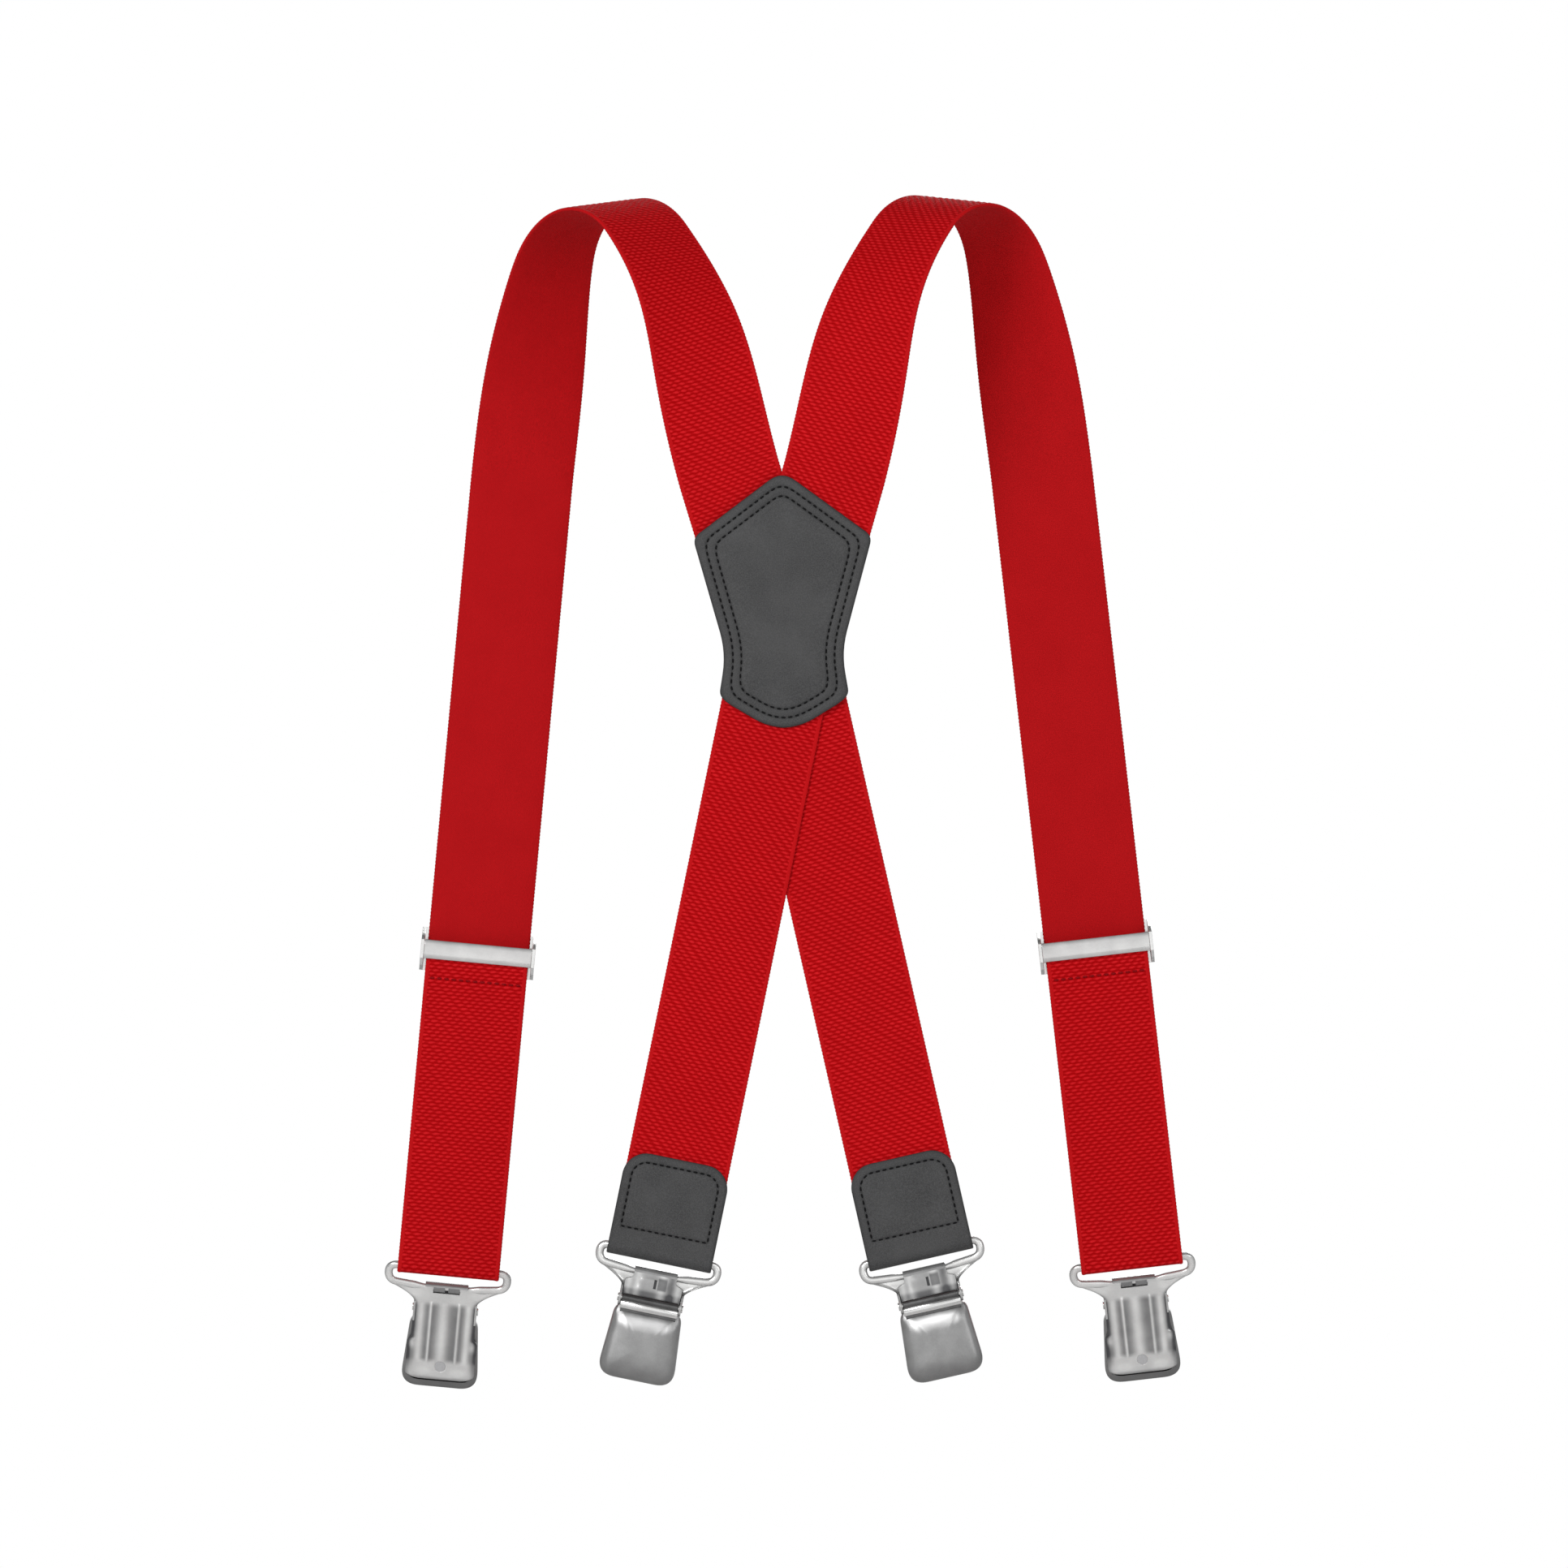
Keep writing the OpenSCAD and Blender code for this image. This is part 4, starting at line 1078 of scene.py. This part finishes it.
def clipWire():
    b = clipBody
    heel = (b["barHalf"] - b["heelIn"], -b["heelDrop"])
    half = np.vstack([[(0, 0), (10, 0), (17, 0)],
                      arcPoints((b["barHalf"], -b["cornerR"]), b["cornerR"], 90, 0, 9),
                      arcPoints(heel, b["heelR"], 0, -78, 12)[1:], b["foot"]])
    other = half[1:-1][::-1] * (-1, 1)
    path = eased(evenLoop(np.vstack([half, other]), 0.75), 3)
    top = rise(path[:, 1], -0.6, -0.1) * (1 - rise(np.abs(path[:, 0]), 19.0, 21.0))
    low = (1 - rise(path[:, 1], -7.5, -6.2)) * (1 - rise(np.abs(path[:, 0]), 8.0, 13.0))
    side = 1 - np.maximum(top, low)
    return (path, top * b["barR"] + low * b["lowerR"] + side * b["wireHalf"],
            top * b["barR"] + low * b["lowerR"] + side * b["wireDeep"], side * -0.12)


def bells(table, x, z=None):
    # soft bumps: how much, middle and spread across, and for some middle and spread down
    return sum(row[0] * bell(x, *row[1:3]) * (bell(z, *row[3:]) if row[3:] else 1) for row in table)


def plateHalf(z):
    b = clipBody
    arm = np.clip((z - b["shoulder"]) / 5.9, 0, 1) ** 1.4
    half = b["plateHalf"] + (b["webHalf"] - b["plateHalf"]) * arm
    half = half + (b["lowHalf"] - b["plateHalf"]) * (1 - rise(z, *b["widen"]))
    over = np.clip(b["end"] + b["endR"] - z, 0, b["endR"])
    return half - (b["endR"] - np.sqrt(np.maximum(0, b["endR"] ** 2 - over ** 2)))


def pressedPart(z, before, after):
    # 1 along the ribs, easing to 0 past both their ends
    low, high = clipBody["ribs"]
    return rise(z, low - before, low + after) * (1 - rise(z, high - after, high + before))


def plateBack(x, z, wide):
    b, across = clipBody, np.abs(x)
    (flange, flangeWide), (toe, toeTall), (dish, arms, armsFrom) = b["flange"], b["toe"], b["dish"]
    y = b["back"] + flange * np.clip((across - wide + flangeWide) / flangeWide, 0, 1) ** 2
    y = y + pressedPart(z, 0.8, 0.6) * bells(b["pressing"], across)
    y = y + toe * np.clip((b["end"] + toeTall - z) / toeTall, 0, 1) ** 2 + bells(b["dent"], across, z)
    # the arms dish forward between the loop's wire and their outer edge
    y = y + rise(z, *armsFrom) * (bells([dish], across) + arms)
    r = np.hypot(x, z - b["pegZ"])
    return y + b["pegDeep"] * (1 - rise(r, b["pegR"] - 0.25, b["pegR"] + 0.35))


def plateShine(x, z, wide):
    # painted highlights on the ribs, the middle and the flanks; painted shade in the hollows and at the edges
    b, across = clipBody, np.abs(x)
    edgeWide, dull = b["edgeShade"]
    ridges = b["pressedShine"] + bells(b["ribShine"], across) + bells(b["middleShine"], x)
    flat = b["shine"] + bells(b["flatShine"], across, z)
    edge = np.clip((across - wide + edgeWide) / edgeWide, 0, 1) \
        + np.clip((b["end"] + edgeWide - z) / edgeWide, 0, 1)
    shine = flat + pressedPart(z, 1.0, 1.5) * (ridges - flat) + bells(b["dentShine"], across, z)
    return np.clip(shine - dull * np.clip(edge, 0, 1), 0, 1)


def softPiece(name, verts, faces, place, paint, body, node, angle=40, paintedLight=None):
    lay = [(shine, 0, 0) for shine in paintedLight] if paintedLight else None
    piece = meshPiece(name, placed(np.array(verts, float), place) * mm, faces, paint, lay)
    facesOut(piece)
    sharpen(piece, angle)
    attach(piece, body)
    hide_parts(node)


def clipBodyPiece(end):
    b, verts, faces, paintedLight = clipBody, [], [], []
    addWire(verts, faces, paintedLight, *clipWire())
    rows = [np.linspace(b["webTop"], -12.8, 18), np.linspace(-13.2, -41, 64), np.linspace(-41.3, b["end"], 12)]
    rows = np.concatenate(rows)
    addSheet(verts, faces, paintedLight, rows, plateHalf, plateBack, plateShine, b["thick"], b["windows"])
    pin = (lever["pinOut"], -lever["pinDrop"])
    ear = np.vstack([[(-0.6, b["earTop"]), (1.6, b["earTop"])], arcPoints(pin, b["earR"], 118, -118, 20),
                     [(1.6, b["earLow"]), (-0.6, b["earLow"])]])
    for x in (-b["earX"], b["earX"]):
        addBar(verts, faces, ear, 0.42, 0.14, x, paintedLight)
    softPiece(camel(end) + "Body", verts, faces, clipPlace(end), paints["pressed"], end + "_clip",
              end + "_clip_body", paintedLight=paintedLight)


tongue = {
    "curlHalf": 8.0, "half": 10.7, "curlR": 1.95, "thick": 0.8, "back": 1.15, "end": -42.4, "bulge": 0.45,
    "slots": ((-0.95, 0.05, -12.9, -9.5),), "hookX": -3.1, "hookZ": -10.9, "hookR": 1.85, "hookThick": 0.45,
    "waves": ((-0.35, 6.3, 1.3, -11.5, 2.4),),
    # shine, ridges: painted light and painted highlights of the tongue
    "shine": 0.38,
    "ridges": ((0.4, -3.0, 1.5), (0.35, 6.2, 1.4), (-0.25, -6.5, 1.2), (0.3, 9.2, 1.0), (0.3, -9.2, 1.0)),
    "block": ((0.35, -9.2), (0.7, -9.2), (0.7, -13.2), (0.35, -13.2)),
    "tooth": ((0.5, 0.3), (1.95, 0.3), (1.75, -0.95), (0.6, -0.95)), "teeth": 5,
}


def tongueHalf(z):
    t = tongue
    return t["curlHalf"] + (t["half"] - t["curlHalf"]) * (1 - rise(z, -11.4, -9.8))


def tongueBack(x, z, wide):
    t = tongue
    y = t["back"] + t["bulge"] * (1 - (x / wide) ** 2) * (1 - rise(z, -10.5, -8.0))
    return y + bells(t["waves"], np.abs(x), z)


def tongueShine(x, z, wide):
    # painted highlights on the ridges; painted shade on the hooked block and on the part below it
    t = tongue
    block = (1 - rise(np.abs(x - t["hookX"]), 1.4, 1.9)) * (1 - rise(np.abs(z - t["hookZ"]), 2.0, 2.6))
    shine = (t["shine"] + bells(t["ridges"], x)) * (1 - 0.85 * block) + 0.08 * block
    return np.clip(shine - 0.3 * rise(-z, 13.4, 15.0), 0, 1)


def curved(centre, r, thick, start, end, steps):
    # section of sheet bent round a centre
    return np.vstack([arcPoints(centre, r, start, end, steps), arcPoints(centre, r - thick, end, start, steps)])


def clipTongue(end):
    t, verts, faces, paintedLight = tongue, [], [], []
    bar = (0.0, clipBody["lowerBar"])
    curl = curved(bar, t["curlR"], t["thick"], -8, 162, 20)
    # the curl and the hooks get low painted light, as painted shade
    addBar(verts, faces, curl, t["curlHalf"], 0.12, 0.0, paintedLight, 0.3)
    addSheet(verts, faces, paintedLight, np.linspace(-7.7, t["end"], 76), tongueHalf, tongueBack, tongueShine,
             t["thick"], t["slots"], core=7.6)
    # the hook wraps the lower bar from behind, in the plate's window
    hook = curved(bar, t["hookR"], t["hookThick"], 150, 240, 9)
    for x in (-2.75, 2.75):
        addBar(verts, faces, hook, 2.1, 0.1, x, paintedLight, 0.22)
    # a dark sheet behind the slot: painted shade seen through it
    addBar(verts, faces, np.array(t["block"]), 1.2, 0.1, -0.45, paintedLight, 0.0)
    tooth = np.array(t["tooth"]) + (0, t["end"])
    for i in range(t["teeth"]):
        addBar(verts, faces, tooth, 1.35, 0.4, (2 * i + 1 - t["teeth"]) * t["half"] / t["teeth"], paintedLight)
    softPiece(camel(end) + "Tongue", verts, faces, clipPlace(end), paints["pressed"], end + "_tongue",
              end + "_clip_tongue", paintedLight=paintedLight)


cover = {
    "top": -19.9, "low": -47.5, "wTop": 25.0, "wLow": 29.2, "radii": (4.0, 4.0, 7.0, 7.0),
    "outer": ((0.0, 2.15), (0.0, 3.4), (0.0, 4.6), (0.12, 5.4), (0.5, 6.3), (1.1, 7.1), (2.0, 7.75), (3.2, 8.2),
              (5.0, 8.55), (7.5, 8.8), (10.0, 8.92)),
    "inner": ((2.5, 2.3), (2.3, 2.9), (0.9, 2.95), (0.8, 4.6), (1.2, 5.7), (2.4, 6.9), (5.0, 7.7), (9.0, 8.0)),
    "rim": ((2.4, 2.02), (1.2, 1.86), (0.3, 1.94)), "openHalf": 12.2, "openTo": 6.6, "centreZ": -34.7,
    "crown": 9.0, "thick": 0.95, "slope": 1.3, "slopeFrom": (-27.6, -20.4), "slopeOver": (6.5, 7.6),
    # painted light: level, the painted shade on the foot and the flanks, and a bowed painted highlight under
    # the slope
    "shine": 0.86, "footShade": (0.35, 38, 47), "flankShade": (0.3, 4.0, 8.0),
    "glint": (-25.6, 1.7), "glintBow": 0.012, "glintEnds": (6.5, 11.0), "glintShine": 1.2,
}
lever = {
    "roll": 1.7, "rollHalf": 10.6, "cam": 3.2, "camR": 0.55, "pinOut": 6.2, "pinDrop": 18.0, "neckHalf": 10.4,
    "neck": ((7.1, -18.6), (7.5, -18.8), (7.5, -22.9), (6.75, -23.4), (6.75, -20.6)),
    "lip": (7.35, -20.5), "lipDeep": 0.72, "lipTall": 1.55, "lipHalf": 10.9,
}


def coverLoop():
    c = cover
    top, low = c["wTop"] / 2, c["wLow"] / 2
    corners = [(-top, c["top"]), (top, c["top"]), (low, c["low"]), (-low, c["low"])]
    return evenLoop(roundedLoop(corners, c["radii"], 9), 0.8)


def coverShine(x, y, z):
    # painted shade darkens the foot and the flanks, and a painted highlight lies near the top
    c, (foot, *footAt), (flank, *flankAt) = cover, cover["footShade"], cover["flankShade"]
    glint = bell(z + c["glintBow"] * x * x, *c["glint"]) * (1 - rise(abs(x), *c["glintEnds"]))
    return (c["shine"] - foot * rise(-z, *footAt) - flank * (1 - rise(y, *flankAt))
            + c["glintShine"] * glint)


def clipLever(end):
    place, c, l = clipPlace(end), cover, lever
    loop = coverLoop()
    centre, n = (0.0, c["centreZ"]), len(loop)
    profile = list(reversed(c["inner"])) + list(c["rim"]) + list(c["outer"])
    rings = insetLoops(loop, centre, [d for d, _ in profile])
    cut = (np.abs(loop[:, 0]) < c["openHalf"]) & (loop[:, 1] > c["top"] - 0.3)
    verts = []
    for (d, deep), ring in zip(profile, rings):
        for opened, (x, z) in zip(cut, ring):
            y = max(deep, c["openTo"] + 0.02 * d) if opened else deep
            verts.append((x, y - c["slope"] * rise(z, *c["slopeFrom"]) * rise(y, *c["slopeOver"]), z))
    faces = [tuple(f) for f in gridFaces(len(profile), n)]
    inside, crown = len(verts), len(verts) + 1
    verts += [(0, c["crown"] - c["thick"], c["centreZ"]), (0, c["crown"], c["centreZ"])]
    last = (len(profile) - 1) * n
    faces += [((k + 1) % n, k, inside) for k in range(n)]
    faces += [(last + k, last + (k + 1) % n, crown) for k in range(n)]
    body, node = end + "_lever", end + "_clip_lever"
    shine = [coverShine(*v) for v in verts]
    softPiece(camel(end) + "Cover", verts, faces, place, paints["satin"], body, node, 50, shine)
    # the cam rolls on the pin, and a neck joins it to the cover; both are painted dark, as painted shade
    pin, verts, faces = (l["pinOut"], -l["pinDrop"]), [], []
    roll = np.vstack([arcPoints(pin, l["roll"], -75, 105, 22),
                      arcPoints((pin[0] - l["cam"], pin[1]), l["camR"], 110, 250, 8),
                      arcPoints(pin, l["roll"], 255, 284, 4)])
    addBar(verts, faces, roll, l["rollHalf"])
    addBar(verts, faces, np.array(l["neck"]), l["neckHalf"])
    softPiece(camel(end) + "Roll", verts, faces, place, paints["shade"], body, node)
    verts, faces = [], []
    a = np.linspace(0, 2 * math.pi, 21)[:-1]
    lip = np.stack([l["lip"][0] + l["lipDeep"] * np.cos(a), l["lip"][1] + l["lipTall"] * np.sin(a)], -1)
    addBar(verts, faces, lip, l["lipHalf"], 0.35)
    softPiece(camel(end) + "Lip", verts, faces, place, paints["nickel"], body, node)


def camel(name):
    words = name.split("_")
    return words[0] + "".join(w.capitalize() for w in words[1:])


for side in (left, right):
    name = sideNames[side]
    for part, edge in (("frame", 0.3), ("rear_bar", 0.25), ("centre_bar", 0.15)):
        softened(f"{name}_adjuster_{part}", name + "_adjuster", "nickel", edge)
for end in ("back_left", "back_right", "front_left", "front_right"):
    clipBodyPiece(end)
    clipTongue(end)
    softened(end + "_clip_pin", end + "_clip", "nickel", 0.12)
    softened(end + "_clip_pad", end + "_clip", "nylon", 0.1)
    clipLever(end)
print("hardware made")
